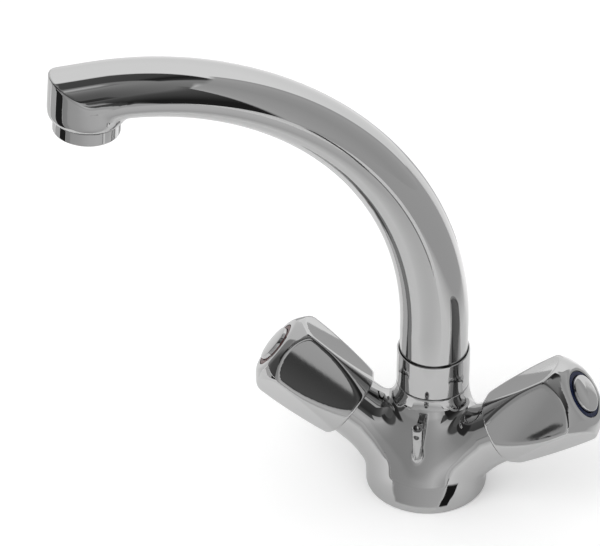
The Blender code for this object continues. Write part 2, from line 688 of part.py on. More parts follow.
def handle_profile():
    """Radius against distance back from the end plane: flat end, round shoulder, long taper."""
    points = [(HANDLE_FLAT_RADIUS, 0)]
    rise = HANDLE_MAX_RADIUS - HANDLE_FLAT_RADIUS
    for share in HANDLE_SHOULDER_SHARES:
        points.append((HANDLE_FLAT_RADIUS + rise * sin(share * pi / 2), HANDLE_MAX_S * share))
    taper_start = (HANDLE_MAX_RADIUS, HANDLE_MAX_S)
    middle = (HANDLE_MIDDLE_RADIUS, HANDLE_MIDDLE_S)
    rim = (HANDLE_RIM_RADIUS, HANDLE_LENGTH - HANDLE_RIM_EDGE)
    for share in HANDLE_TAPER_SHARES:
        points.append(tuple(a + (b - a) * share for a, b in zip(taper_start, middle)))
    points.append(middle)
    points.append(tuple((a + b) / 2 for a, b in zip(middle, rim)))
    points.append(rim)
    points.append((HANDLE_RIM_RADIUS - HANDLE_RIM_EDGE, HANDLE_LENGTH))
    return [(radius, HANDLE_END_T - back) for radius, back in points]


def face_cutter(turn):
    """Block whose inner side is one long flat of the handle, nearer the axis at the rim."""
    length = HANDLE_LENGTH + 2 * OVERRUN
    drop = HANDLE_FACE_DISTANCE - HANDLE_FACE_RIM_DISTANCE
    per_length = drop / HANDLE_LENGTH
    outer = 2 * HANDLE_MAX_RADIUS
    outline = [
        (outer, HANDLE_END_T + OVERRUN), (outer, HANDLE_END_T + OVERRUN - length),
        (HANDLE_FACE_RIM_DISTANCE - per_length * OVERRUN, HANDLE_END_T + OVERRUN - length),
        (HANDLE_FACE_DISTANCE + per_length * OVERRUN, HANDLE_END_T + OVERRUN),
    ]
    rings = [[(x, -distance, z) for distance, z in outline] for x in (-outer, outer)]
    cutter = skin_rings(rings, "face")
    return place(cutter, Matrix.Rotation(turn, 4, 'Z'))


def make_handle(side, name, turn):
    """Faceted handle with its skirt, spindle socket, screw seat and end recess."""
    handle = turned(handle_profile(), "handle")
    cut(handle, *[face_cutter(2 * pi * i / HANDLE_FACES - side * turn) for i in range(HANDLE_FACES)])
    skirt_radius = ARM_RADIUS + SKIRT_CLEARANCE
    room = turned([
        (skirt_radius, HANDLE_RIM_T - OVERRUN), (skirt_radius, HANDLE_RIM_T + SKIRT_DEPTH),
        (HEADWORK_ROOM_RADIUS, HANDLE_RIM_T + SKIRT_DEPTH), (HEADWORK_ROOM_RADIUS, WEB_T)], "room")
    socket = rod(SPINDLE_RADIUS + GAP, WEB_T - OVERRUN, SOCKET_TOP_T)
    screw_hole = rod(SCREW_SHANK_RADIUS + GAP, SOCKET_TOP_T - OVERRUN, SCREW_SEAT_T + OVERRUN)
    screw_seat = rod(SCREW_HEAD_RADIUS + GAP, SCREW_SEAT_T, RECESS_FLOOR_T + OVERRUN)
    recess = rod(INDEX_RECESS_RADIUS, RECESS_FLOOR_T, HANDLE_END_T + OVERRUN, sides=SIDES_LARGE)
    cut(handle, room, socket, screw_hole, screw_seat, recess)
    return finish_piece(place(handle, arm_matrix(side)), name + "_handle", CHROME)


def make_index_ring(side, name, look):
    low = RECESS_FLOOR_T + GAP
    ring = turned(tube_section(INDEX_RADIUS - INDEX_RING_WIDTH, INDEX_RADIUS, low,
                               low + INDEX_RING_HEIGHT), "ring", hollow=True)
    return finish_piece(place(ring, arm_matrix(side)), name + "_index_ring", look)


def make_index_cap(side, name):
    low = RECESS_FLOOR_T + GAP
    radius = INDEX_RADIUS - INDEX_RING_WIDTH - GAP
    edge = low + CAP_EDGE_HEIGHT
    profile = [(radius, low), (radius, edge)]
    for degrees in CAP_DOME_DEGREES:
        profile.append((radius * cos(radians(degrees)), edge + CAP_DOME * sin(radians(degrees))))
    profile.append((STEP_GAP, edge + CAP_DOME))
    cap = turned(profile, "cap", SIDES_RING)
    return finish_piece(place(cap, arm_matrix(side)), name + "_index_cap", CHROME)


def make_handle_screw(side, name):
    low = SCREW_SEAT_T + GAP
    top = low + SCREW_HEAD_HEIGHT
    screw = turned([(SCREW_SHANK_RADIUS, low - SCREW_LENGTH), (SCREW_SHANK_RADIUS, low),
                    (SCREW_HEAD_RADIUS, low), (SCREW_HEAD_RADIUS, top)], "screw", SIDES_TINY)
    slot = block((3 * SCREW_HEAD_RADIUS, SCREW_SLOT_WIDTH, 2 * SCREW_SLOT_DEPTH), (0, 0, top))
    cut(screw, slot)
    return finish_piece(place(screw, arm_matrix(side)), name + "_handle_screw", STEEL)


# Valves, built the same way

SEAT_SEAL_T = CAVITY_FLOOR_T + GAP
VALVE_FOOT_T = SEAT_SEAL_T + SEAT_SEAL_THICKNESS / 2
FIXED_DISC_T = SEAT_SEAL_T + SEAT_SEAL_THICKNESS + GAP
MOVING_DISC_T = FIXED_DISC_T + DISC_THICKNESS + GAP
DRIVER_T = MOVING_DISC_T + DISC_THICKNESS + GAP
VALVE_HEX_T = ARM_END_T + GAP
DISC_RADIUS = VALVE_CHAMBER_RADIUS - GAP
CIRCLIP_T = VALVE_NECK_END_T + GAP


def make_valve_body(side, name):
    """Headwork: barrel in the arm, hexagon on the arm's end, neck round the spindle."""
    barrel = turned([
        (VALVE_BARREL_RADIUS, VALVE_FOOT_T), (VALVE_BARREL_RADIUS, VALVE_HEX_T + OVERRUN),
        (VALVE_NECK_RADIUS, VALVE_HEX_T + OVERRUN), (VALVE_NECK_RADIUS, VALVE_NECK_END_T)],
        "barrel", SIDES_RING)
    corner = VALVE_HEX_FLATS / 2 / cos(pi / 6)
    hexagon = rod(corner, VALVE_HEX_T, VALVE_HEX_T + VALVE_HEX_THICKNESS, sides=6)
    join(barrel, hexagon)
    chamber = rod(VALVE_CHAMBER_RADIUS, VALVE_FOOT_T - OVERRUN, VALVE_CHAMBER_TOP_T, sides=SIDES_RING)
    bore = rod(SPINDLE_RADIUS + GAP, VALVE_CHAMBER_TOP_T - OVERRUN, VALVE_NECK_END_T + OVERRUN)
    window_t = (DRIVER_T + SPINDLE_DRIVER_THICKNESS + VALVE_CHAMBER_TOP_T) / 2
    window = passage((-2 * VALVE_BARREL_RADIUS, 0, window_t), (2 * VALVE_BARREL_RADIUS, 0, window_t),
                     VALVE_WINDOW_RADIUS)
    cut(barrel, chamber, bore, window)
    return finish_piece(place(barrel, arm_matrix(side)), name + "_valve_body", BRASS)


def make_spindle(side, name):
    seal_floor = SPINDLE_RADIUS - SPINDLE_SEAL_GROOVE
    clip_floor = SPINDLE_RADIUS - CIRCLIP_GROOVE
    shoulder = VALVE_CHAMBER_TOP_T - GAP
    top = SOCKET_TOP_T - GAP
    spindle = turned([
        (DISC_RADIUS, DRIVER_T), (DISC_RADIUS, DRIVER_T + SPINDLE_DRIVER_THICKNESS),
        (SPINDLE_RADIUS, DRIVER_T + SPINDLE_DRIVER_THICKNESS),
        (SPINDLE_RADIUS, shoulder - SPINDLE_SHOULDER_THICKNESS),
        (SPINDLE_SHOULDER_RADIUS, shoulder - SPINDLE_SHOULDER_THICKNESS),
        (SPINDLE_SHOULDER_RADIUS, shoulder), (SPINDLE_RADIUS, shoulder),
        (SPINDLE_RADIUS, SPINDLE_SEAL_T), (seal_floor, SPINDLE_SEAL_T),
        (seal_floor, SPINDLE_SEAL_T + SPINDLE_SEAL_WIDTH),
        (SPINDLE_RADIUS, SPINDLE_SEAL_T + SPINDLE_SEAL_WIDTH),
        (SPINDLE_RADIUS, CIRCLIP_T), (clip_floor, CIRCLIP_T),
        (clip_floor, CIRCLIP_T + CIRCLIP_THICKNESS + 2 * GAP),
        (SPINDLE_RADIUS, CIRCLIP_T + CIRCLIP_THICKNESS + 2 * GAP),
        (SPINDLE_RADIUS, top)], "spindle", SIDES_SMALL)
    bore = rod(SCREW_SHANK_RADIUS + GAP, SCREW_SEAT_T - SCREW_LENGTH - OVERRUN, top + OVERRUN,
               sides=SIDES_TINY)
    cut(spindle, bore)
    return finish_piece(place(spindle, arm_matrix(side)), name + "_valve_spindle", BRASS)


def make_spindle_o_ring(side, name):
    inner = SPINDLE_RADIUS - SPINDLE_SEAL_GROOVE + GAP / 2
    outer = SPINDLE_RADIUS + GAP / 2
    ring = seal_ring((inner + outer) / 2, (outer - inner) / 2,
                     SPINDLE_SEAL_T + SPINDLE_SEAL_WIDTH / 2, "o_ring")
    return finish_piece(place(ring, arm_matrix(side)), name + "_spindle_o_ring", RUBBER)


def make_circlip(side, name):
    low = CIRCLIP_T + GAP
    clip = turned(tube_section(SPINDLE_RADIUS - CIRCLIP_GROOVE + GAP, CIRCLIP_RADIUS, low,
                               low + CIRCLIP_THICKNESS), "clip", SIDES_TINY, hollow=True)
    split = block((CIRCLIP_SPLIT, 2 * CIRCLIP_RADIUS, 4 * CIRCLIP_THICKNESS),
                  (0, CIRCLIP_RADIUS, low))
    cut(clip, split)
    return finish_piece(place(clip, arm_matrix(side)), name + "_spindle_circlip", STEEL)


def disc_port(turn, low):
    """Fan-shaped cutter for one of a disc's two water ports."""
    def arc(radius, angles):
        return [(radius * cos(a), radius * sin(a)) for a in angles]
    angles = [turn + DISC_PORT_ANGLE * (i / DISC_PORT_STEPS - 0.5) for i in range(DISC_PORT_STEPS + 1)]
    outline = arc(DISC_PORT_OUTER, angles) + arc(DISC_PORT_INNER, reversed(angles))
    return prism(outline, low - OVERRUN, low + DISC_THICKNESS + OVERRUN)


def make_disc(side, name, low, turn):
    disc = rod(DISC_RADIUS, low, low + DISC_THICKNESS, sides=SIDES_RING)
    cut(disc, disc_port(turn, low), disc_port(turn + pi, low))
    return finish_piece(place(disc, arm_matrix(side)), name, CERAMIC)


def make_seat_seal(side, name):
    seal = turned(tube_section(SEAT_SEAL_BORE, DISC_RADIUS, SEAT_SEAL_T,
                               SEAT_SEAL_T + SEAT_SEAL_THICKNESS), "seal", SIDES_RING, hollow=True)
    return finish_piece(place(seal, arm_matrix(side)), name + "_seat_seal", RUBBER)


def make_side(side, name, turn, index_look):
    make_handle(side, name, turn)
    make_index_ring(side, name, index_look)
    make_index_cap(side, name)
    make_handle_screw(side, name)
    make_valve_body(side, name)
    make_spindle(side, name)
    make_spindle_o_ring(side, name)
    make_circlip(side, name)
    make_disc(side, name + "_moving_disc", MOVING_DISC_T, 0)
    make_disc(side, name + "_fixed_disc", FIXED_DISC_T, pi / 2)
    make_seat_seal(side, name)


clear_scene()
make_body()
make_base_seal()
make_collar()
make_glide_ring()
make_retaining_ring()
make_spout()
make_tail_ring("spout_o_ring_lower", TAIL_LOWER_RING)
make_tail_ring("spout_o_ring_upper", TAIL_UPPER_RING)
make_aerator_housing()
make_aerator_insert()
make_aerator_washer()
make_side(-1, "hot", HOT_HANDLE_TURN, RED)
make_side(1, "cold", COLD_HANDLE_TURN, BLUE)
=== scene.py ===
# %% [markdown]
# # A basin mixer tap in polished chrome
#
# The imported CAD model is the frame: it says where each piece is and how it moves. This script gives
# that frame its looks. Chrome shows nothing but its surroundings, so two things decide the picture:
# how smoothly each surface turns, and what stands in the studio to be mirrored in it.

# %% Load the frame
from math import cos, pi, radians, sin

import bmesh
import bpy
import numpy as np
from mathutils import Matrix, Vector


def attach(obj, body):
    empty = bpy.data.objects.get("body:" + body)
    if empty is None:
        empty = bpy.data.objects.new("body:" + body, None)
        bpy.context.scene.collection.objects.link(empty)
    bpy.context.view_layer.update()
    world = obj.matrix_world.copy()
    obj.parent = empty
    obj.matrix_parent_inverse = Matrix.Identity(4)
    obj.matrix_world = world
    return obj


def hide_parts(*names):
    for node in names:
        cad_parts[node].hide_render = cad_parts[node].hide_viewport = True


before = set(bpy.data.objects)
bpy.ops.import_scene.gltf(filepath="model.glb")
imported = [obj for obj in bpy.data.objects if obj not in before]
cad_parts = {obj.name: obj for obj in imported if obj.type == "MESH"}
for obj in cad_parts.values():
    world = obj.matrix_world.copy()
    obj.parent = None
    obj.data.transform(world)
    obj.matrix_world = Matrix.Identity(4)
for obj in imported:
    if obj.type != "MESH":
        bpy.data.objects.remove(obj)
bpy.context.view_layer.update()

MM = 0.001

# %% [markdown]
# ## The camera
#
# A long lens, well back and above the tap, gives the photograph's flat perspective. The place and
# the lens come from matching the base circle, the collar, the index rings and the spout's curve.

# %% Place the camera
CAMERA_PLACE = Vector((0.28855, -1.29137, 1.06916))
CAMERA_TARGET = Vector((-0.06126, 0.03462, 0.06446))
CAMERA_ROLL = radians(0.08)
CAMERA_LENS = 255.3
CAMERA_SENSOR = 36.0
CAMERA_FAR = 10.0


def pointed(start, direction):
    """Matrix at a place, whose +Z runs in a direction."""
    return Matrix.Translation(start) @ direction.to_track_quat('Z', 'Y').to_matrix().to_4x4()


def new_object(name, data):
    obj = bpy.data.objects.new(name, data)
    bpy.context.scene.collection.objects.link(obj)
    return obj


camera = new_object("camera", bpy.data.cameras.new("camera"))
camera.data.sensor_width = CAMERA_SENSOR
camera.data.lens = CAMERA_LENS
camera.data.clip_end = CAMERA_FAR
aim = CAMERA_PLACE - CAMERA_TARGET
camera.matrix_world = pointed(CAMERA_PLACE, aim) @ Matrix.Rotation(CAMERA_ROLL, 4, 'Z')
bpy.context.scene.camera = camera
print("camera", aim.length, "m from its target")

# %% [markdown]
# ## Sizes shared with the CAD
#
# A piece that stands for a CAD node has that node's sizes. They are written here in the same words
# as in the part's own source, so that the two can be read side by side.

# %% Sizes of the body
GAP = 0.3 * MM
OVERRUN = 1.0 * MM
BASE_RADIUS = 24.0 * MM
FOOT_HEIGHT = 6.0 * MM
NECK_RADIUS = 14.4 * MM
NECK_SETBACK = 8.3 * MM
NECK_TOP = 43.0 * MM
THREAD_RADIUS = 12.7 * MM
THREAD_TOP = 52.0 * MM
NECK_BORE_RADIUS = 9.7 * MM
NECK_BORE_FLOOR = 28.0 * MM
ARM_ROOT_HEIGHT = 8.1 * MM
ARM_TILT = radians(36.4)
ARM_RADIUS = 12.6 * MM
ARM_FLARE_RADIUS = 15.4 * MM
ARM_START_T = 12.0 * MM
ARM_FLARE_END_T = 32.0 * MM
ARM_END_T = 47.0 * MM
CAVITY_RADIUS = 8.2 * MM
CAVITY_FLOOR_T = 26.3 * MM
LUG_FOOT_RADIUS = 1.9 * MM
LUG_EYE_RADIUS = 2.3 * MM
LUG_TOP = 37.4 * MM
LUG_BOTTOM = 20.8 * MM
LUG_LEAN = 1.4 * MM
LUG_WEB_WIDTH = 2.6 * MM
LUG_WEB_STEP = 0.4 * MM
LUG_HOLE_RADIUS = 1.15 * MM
LUG_HOLE_DEPTH = 3.3 * MM
INLET_SPACING = 22.0 * MM
INLET_RADIUS = 4.8 * MM
INLET_DEPTH = 17.0 * MM
INLET_SEAT_RADIUS = 6.9 * MM
INLET_SEAT_DEPTH = 1.5 * MM
STUD_HOLE_RADIUS = 4.0 * MM
STUD_HOLE_DEPTH = 14.0 * MM
STUD_HOLE_SETBACK = 12.5 * MM
SEAL_RADIUS = 20.4 * MM
SEAL_WIDTH = 2.2 * MM
SEAL_THICKNESS = 1.5 * MM
print("body sizes set")

# %% [markdown]
# ## Smooth castings from distance fields
#
# A polished casting has no seams: the arms flow out of the bell, and every edge is slightly round.
# Booleans leave sharp seams that a mirror finish would show at once. So each casting is written as
# a field, a function that is below zero inside and above zero outside. Two fields join with a soft
# minimum, which is a fillet, and cut with a soft maximum, which is a rounded edge.
#
# The mesh then comes from the field in three moves: a grid finds the cells that the surface
# crosses, the points are relaxed and pulled onto the surface, and where the surface turns tightly
# the faces are split and pulled again. The shading normals come from the field itself, so that
# reflections run as smoothly as on the real metal.

# %% Blend two fields
def soft_min(a, b, reach):
    """The lower field, with a fillet where the two are closer than reach."""
    near = np.clip(1 - np.abs(a - b) / reach, 0, None)
    return np.minimum(a, b) - near ** 3 * reach / 6


def soft_max(a, b, reach):
    """The higher field, with a rounded edge where the two are closer than reach."""
    return -soft_min(-a, -b, reach)


def ease(share):
    share = np.clip(share, 0, 1)
    return share * share * (3 - 2 * share)


print("fillet at an equal distance", float(soft_min(0.0, 0.0, 6 * MM)) / MM, "mm")

# %% Find the surface on a grid
CORNERS = [(i, j, k) for i in (0, 1) for j in (0, 1) for k in (0, 1)]


def grid_surface(field, low, high, cell):
    """One point in each cell that the surface crosses, and a quad across each crossed edge."""
    low = np.array(low)
    counts = np.ceil((np.array(high) - low) / cell).astype(int) + 1
    axes = [low[i] + cell * np.arange(counts[i]) for i in range(3)]
    grid = np.stack(np.meshgrid(*axes, indexing="ij"), -1).reshape(-1, 3)
    inside = (field(grid) < 0).reshape(counts)
    cells = counts - 1
    filled = sum(inside[i:cells[0] + i, j:cells[1] + j, k:cells[2] + k].astype(int)
                 for i, j, k in CORNERS)
    crossed = (filled > 0) & (filled < len(CORNERS))
    index = np.full(crossed.shape, -1)
    index[crossed] = np.arange(crossed.sum())
    points = (np.argwhere(crossed) + 0.5) * cell + low
    quads = []
    for axis in range(3):
        first, second = [a for a in range(3) if a != axis]
        start = np.take(inside, range(cells[axis]), axis)
        end = np.take(inside, range(1, counts[axis]), axis)
        for leaving in (True, False):
            edges = np.argwhere(start & ~end if leaving else ~start & end)
            ring = []
            for a, b in ((1, 1), (0, 1), (0, 0), (1, 0)):
                around = edges.copy()
                around[:, first] -= a
                around[:, second] -= b
                ring.append(index[tuple(around.T)])
            if leaving == (axis == 1):
                ring.reverse()
            quads.append(np.stack(ring, 1))
    return points, np.concatenate(quads)


# %% Pull points onto the field
FIELD_STEP = 0.02 * MM
TURN_PROBE = 0.3 * MM
LEAST_SQUARED_SLOPE = 0.05
NEARLY_ZERO = 1e-12
SETTLE_ROUNDS = 6
QUICK_ROUNDS = 2


def gradient(field, points):
    """Direction in which the field grows, from small steps each way."""
    return np.stack([(field(points + step) - field(points - step)) / (2 * FIELD_STEP)
                     for step in np.eye(3) * FIELD_STEP], 1)


def turning(field, points):
    """How tightly the surface turns, per metre: above zero on an edge, below in a hollow. The field
    at each point is compared with its six neighbours."""
    around = sum(field(points + step) + field(points - step) for step in np.eye(3) * TURN_PROBE)
    return (around - 6 * field(points)) / TURN_PROBE ** 2


def settle(field, points, longest, rounds=SETTLE_ROUNDS):
    """Move points onto the surface, by no more than longest in each round."""
    for _ in range(rounds):
        slope = gradient(field, points)
        size = np.maximum((slope ** 2).sum(1), LEAST_SQUARED_SLOPE)
        move = slope * (field(points) / size)[:, None]
        length = np.maximum(np.linalg.norm(move, axis=1), NEARLY_ZERO)
        points = points - move * np.minimum(1, longest / length)[:, None]
    return points


# %% Make a casting's mesh
RELAX_ROUNDS = 6
SPLITS = 2
TIGHT_TURN = 250.0


def object_from(bm, name):
    """Object in the scene, with the mesh that bm holds."""
    mesh = bpy.data.meshes.new(name)
    bm.to_mesh(mesh)
    bm.free()
    return new_object(name, mesh)


def relax(field, bm, longest, rounds):
    """Even out the faces: each point moves towards its neighbours' middle, then back to the field."""
    bm.verts.index_update()
    points = np.array([v.co for v in bm.verts])
    pairs = np.array([[v.index for v in e.verts] for e in bm.edges])
    both = np.concatenate([pairs, pairs[:, ::-1]])
    count = np.bincount(both[:, 0], minlength=len(points))[:, None]
    for _ in range(rounds):
        total = np.zeros_like(points)
        np.add.at(total, both[:, 0], points[both[:, 1]])
        points = settle(field, (points + total / count) / 2, longest, QUICK_ROUNDS)
    points = settle(field, points, longest)
    for vert, point in zip(bm.verts, points):
        vert.co = point


def casting(name, field, low, high, cell):
    """Closed mesh of a field, split finer where the surface turns tightly."""
    points, quads = grid_surface(field, low, high, cell)
    bm = bmesh.new()
    verts = [bm.verts.new(point) for point in points]
    for quad in quads:
        bm.faces.new([verts[i] for i in quad])
    relax(field, bm, cell, RELAX_ROUNDS)
    for _ in range(SPLITS):
        bm.faces.ensure_lookup_table()
        centres = np.array([face.calc_center_median() for face in bm.faces])
        tight = np.abs(turning(field, centres)) > TIGHT_TURN
        edges = {edge for face, turn in zip(list(bm.faces), tight) if turn for edge in face.edges}
        bmesh.ops.subdivide_edges(bm, edges=list(edges), cuts=1, use_grid_fill=True)
        cell = cell / 2
        relax(field, bm, cell, QUICK_ROUNDS)
    return object_from(bm, name)


# %% Shade a casting by its field
ON_FIELD = 0.03 * MM
LEAST_AGREEMENT = 0.7
SHARPEST_TURN = 1500.0


def shade_by_field(obj, field):
    """Normals from the field where a face lies on it, flat faces where a cutter made them. The
    attribute edge says how sharply the metal turns at each point, for the finishes."""
    mesh = obj.data
    mesh.shade_smooth()
    points = np.array([vert.co for vert in mesh.vertices])
    slope = gradient(field, points)
    slope /= np.maximum(np.linalg.norm(slope, axis=1), NEARLY_ZERO)[:, None]
    on_field = np.abs(field(points)) < ON_FIELD
    normals = np.zeros((len(mesh.loops), 3))
    for face in mesh.polygons:
        flat = np.array(face.normal)
        smooth = all(on_field[v] for v in face.vertices)
        for loop, v in zip(face.loop_indices, face.vertices):
            agrees = smooth and slope[v] @ flat > LEAST_AGREEMENT
            normals[loop] = slope[v] if agrees else flat
    mesh.normals_split_custom_set(normals)
    edge = mesh.attributes.new("edge", 'FLOAT', 'POINT')
    turn = np.where(on_field, turning(field, points), 0)
    edge.data.foreach_set("value", np.clip(turn / SHARPEST_TURN, 0, 1))
    return obj


# %% [markdown]
# ## Turned pieces and cutters
#
# The collar, the rings and the caps come off a lathe: a profile turned about an axis. The same
# helper makes the drills that bore the waterways, which are cut with exact booleans.

# %% Turn a profile
SIDES = 96
ROD_SIDES = 48
DRILL_SIDES = 32


def mesh_from(rings, name, loop=False):
    """Solid through rings of points. The two ends are filled unless the rings run in a loop."""
    bm = bmesh.new()
    verts = [[bm.verts.new(point) for point in ring] for ring in rings]
    count = len(rings[0])
    pairs = list(zip(verts, verts[1:]))
    if loop:
        pairs.append((verts[-1], verts[0]))
    for near, far in pairs:
        for i in range(count):
            j = (i + 1) % count
            bm.faces.new((near[i], near[j], far[j], far[i]))
    if not loop:
        bm.faces.new(verts[0])
        bm.faces.new(verts[-1])
    bmesh.ops.recalc_face_normals(bm, faces=bm.faces)
    return object_from(bm, name)


def turned(profile, name, sides=SIDES, loop=False):
    turns = [2 * pi * i / sides for i in range(sides)]
    return mesh_from([[(r * cos(a), r * sin(a), z) for a in turns] for r, z in profile], name, loop)


def rod(radius, low, high, sides=ROD_SIDES):
    return turned([(radius, low), (radius, high)], "rod", sides)


def place(obj, matrix):
    obj.data.transform(matrix)
    return obj


def drill(start, end, radius):
    aim = end - start
    return place(rod(radius, 0, aim.length, DRILL_SIDES), pointed(start, aim))


# %% Cut and join with exact booleans
def combine(target, others, operation):
    for other in others:
        modifier = target.modifiers.new("combine", 'BOOLEAN')
        modifier.operation = operation
        modifier.solver = 'EXACT'
        modifier.object = other
        bpy.context.view_layer.update()
        evaluated = target.evaluated_get(bpy.context.evaluated_depsgraph_get())
        result = bpy.data.meshes.new_from_object(evaluated)
        target.modifiers.clear()
        old, target.data = target.data, result
        bpy.data.meshes.remove(old)
        bpy.data.objects.remove(other, do_unlink=True)
    target.data.name = target.name
    return target


def cut(target, *cutters):
    return combine(target, cutters, 'DIFFERENCE')


def join(target, *others):
    return combine(target, others, 'UNION')


# %% [markdown]
# ## The body
#
# One brass casting: a bell that leans back into the neck, two arms that rise at the sides, and a
# small lug for a plug chain on the front. The arms' fillets are tight low down, where they run out
# over the foot, and wide at the crotch with the neck.

# %% Field of the body
FOOT_EDGE = 1.6 * MM
ARM_EDGE = 1.2 * MM
FILLET_LOW = 4.0 * MM
FILLET_HIGH = 9.0 * MM
LUG_FILLET = 1.6 * MM
LUG_EDGE = 0.8 * MM


def bell_section(z):
    """Centre and radius of the bell at a height."""
    blend = ease((z - FOOT_HEIGHT) / (NECK_TOP - FOOT_HEIGHT))
    return NECK_SETBACK * blend, BASE_RADIUS + (NECK_RADIUS - BASE_RADIUS) * blend


def lug_line():
    """The two ends of the lug's post, the lower one first."""
    centre, radius = bell_section(LUG_BOTTOM)
    foot_y = float(centre - radius + LUG_FOOT_RADIUS)
    return np.array((0, foot_y, LUG_BOTTOM - LUG_EYE_RADIUS)), np.array((0, foot_y - LUG_LEAN, LUG_TOP))


def lug_field(p):
    foot, tip = lug_line()
    length = np.linalg.norm(tip - foot)
    axis = (tip - foot) / length
    run = (p - foot) @ axis
    off_axis = np.linalg.norm(p - foot - run[:, None] * axis, axis=1)
    share = np.clip(run / length, 0, 1)
    post = off_axis - (LUG_FOOT_RADIUS + (LUG_EYE_RADIUS - LUG_FOOT_RADIUS) * share)
    post = soft_max(soft_max(post, run - length, LUG_EDGE), -run, LUG_EDGE)
    web = soft_max(np.abs(p[:, 0]) - LUG_WEB_WIDTH / 2, p[:, 2] - LUG_TOP + LUG_WEB_STEP, LUG_EDGE)
    web = np.maximum(np.maximum(web, foot[1] - p[:, 1]), p[:, 1])
    web = np.maximum(web, LUG_BOTTOM - p[:, 2])
    return soft_min(post, web, LUG_EDGE)


def body_field(p):
    x, y, z = p.T
    centre, radius = bell_section(z)
    bell = np.hypot(x, y - centre) - radius
    side, up = np.abs(x), z - ARM_ROOT_HEIGHT
    t = side * cos(ARM_TILT) + up * sin(ARM_TILT)
    flare = 1 - ease((t - ARM_START_T) / (ARM_FLARE_END_T - ARM_START_T))
    arm = np.hypot(y, up * cos(ARM_TILT) - side * sin(ARM_TILT))
    arm = arm - (ARM_RADIUS + (ARM_FLARE_RADIUS - ARM_RADIUS) * flare)
    fillet = FILLET_LOW + (FILLET_HIGH - FILLET_LOW) * ease((z - FOOT_HEIGHT) / (2 * BASE_RADIUS / 3))
    whole = soft_min(bell, arm, fillet)
    whole = soft_max(whole, t - ARM_END_T, ARM_EDGE)
    whole = soft_min(whole, lug_field(p), LUG_FILLET)
    whole = soft_max(whole, z - NECK_TOP, ARM_EDGE)
    return soft_max(whole, -z, FOOT_EDGE)


# %% Cast and bore the body
BODY_CELL = 0.9 * MM
ROOM = 3 * MM


def arm_matrix(side):
    """Local +Z runs out along an arm from the arms' root, and -Y faces the front."""
    tilt = Matrix.Rotation(side * (pi / 2 - ARM_TILT), 4, 'Y')
    return Matrix.Translation((0, 0, ARM_ROOT_HEIGHT)) @ tilt


def upright(x, y):
    return Matrix.Translation((x, y, 0))


def ring_section(inner, outer, low, high):
    return [(inner, low), (outer, low), (outer, high), (inner, high)]


def make_body():
    reach = ARM_END_T * cos(ARM_TILT) + ARM_RADIUS * sin(ARM_TILT) + ROOM
    body = casting("tap_body", body_field, (-reach, -BASE_RADIUS - ROOM, -ROOM),
                   (reach, BASE_RADIUS + ROOM, NECK_TOP + ROOM), BODY_CELL)
    join(body, place(rod(THREAD_RADIUS, NECK_TOP - OVERRUN, THREAD_TOP), upright(0, NECK_SETBACK)))
    foot, tip = (Vector(end) for end in lug_line())
    eye = tip - (tip - foot).normalized() * LUG_HOLE_DEPTH
    front = eye - Vector((0, 2 * LUG_EYE_RADIUS, 0))
    groove_half = SEAL_WIDTH / 2 + GAP
    drills = [
        drill(eye, 2 * tip - eye, LUG_HOLE_RADIUS), drill(front, eye, LUG_HOLE_RADIUS),
        place(rod(NECK_BORE_RADIUS, NECK_BORE_FLOOR, THREAD_TOP + OVERRUN), upright(0, NECK_SETBACK)),
        place(rod(STUD_HOLE_RADIUS, -OVERRUN, STUD_HOLE_DEPTH), upright(0, -STUD_HOLE_SETBACK)),
        turned(ring_section(SEAL_RADIUS - groove_half, SEAL_RADIUS + groove_half, -OVERRUN,
                            SEAL_THICKNESS + GAP), "groove", loop=True),
    ]
    for side in (-1, 1):
        port = upright(side * INLET_SPACING / 2, 0)
        drills += [
            place(rod(INLET_RADIUS, -OVERRUN, INLET_DEPTH), port),
            place(rod(INLET_SEAT_RADIUS, -OVERRUN, INLET_SEAT_DEPTH), port),
            place(rod(CAVITY_RADIUS, CAVITY_FLOOR_T, ARM_END_T + OVERRUN), arm_matrix(side)),
        ]
    cut(body, *drills)
    return shade_by_field(body, body_field)


def tell(obj):
    print(obj.name, len(obj.data.polygons), "faces")


tap_body = make_body()
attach(tap_body, "base")
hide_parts("body")
tell(tap_body)

# %% [markdown]
# ## The spout
#
# A brass tube, round where it leaves the collar and drawn to a flat oval at the end. Its centreline
# rises, then follows a quarter circle. The end is trimmed round about the nozzle, which leaves the
# one crisp crease on the tap: the curved line between the tube's top and the nozzle's upright wall.
# Past the nozzle's side that wall flows into the tube, so the fillet there is a wide one.

# %% Sizes of the spout
SPOUT_RADIUS = 13.45 * MM
SPOUT_WALL = 1.6 * MM
SPOUT_BOTTOM = 57.4 * MM
SPOUT_BEND_START = 71.0 * MM
SPOUT_BEND_RADIUS = 133.5 * MM
SPOUT_SWING = radians(58.5)
SPOUT_END_HALF_WIDTH = 14.6 * MM
SPOUT_END_HALF_HEIGHT = 9.2 * MM
NOZZLE_OVERHANG = 2.9 * MM
NOZZLE_HEIGHT = 9.8 * MM
NOZZLE_REACH = SPOUT_BEND_RADIUS + NOZZLE_OVERHANG
NOZZLE_MOUTH_HEIGHT = SPOUT_BEND_START + SPOUT_BEND_RADIUS - NOZZLE_HEIGHT
NOZZLE_LEAN = radians(4.0)
NOZZLE_MOUTH_RADIUS = 13.2 * MM
NOZZLE_TOP_RADIUS = 14.9 * MM
NOZZLE_NARROWING = 1.022
NOZZLE_SWELL_POWER = 8.0
NOZZLE_BORE_RADIUS = 12.0 * MM
NOZZLE_BORE_DEPTH = 9.0 * MM
TAIL_RADIUS = 9.4 * MM
TAIL_BORE_RADIUS = 6.2 * MM
TAIL_BOTTOM = 33.0 * MM

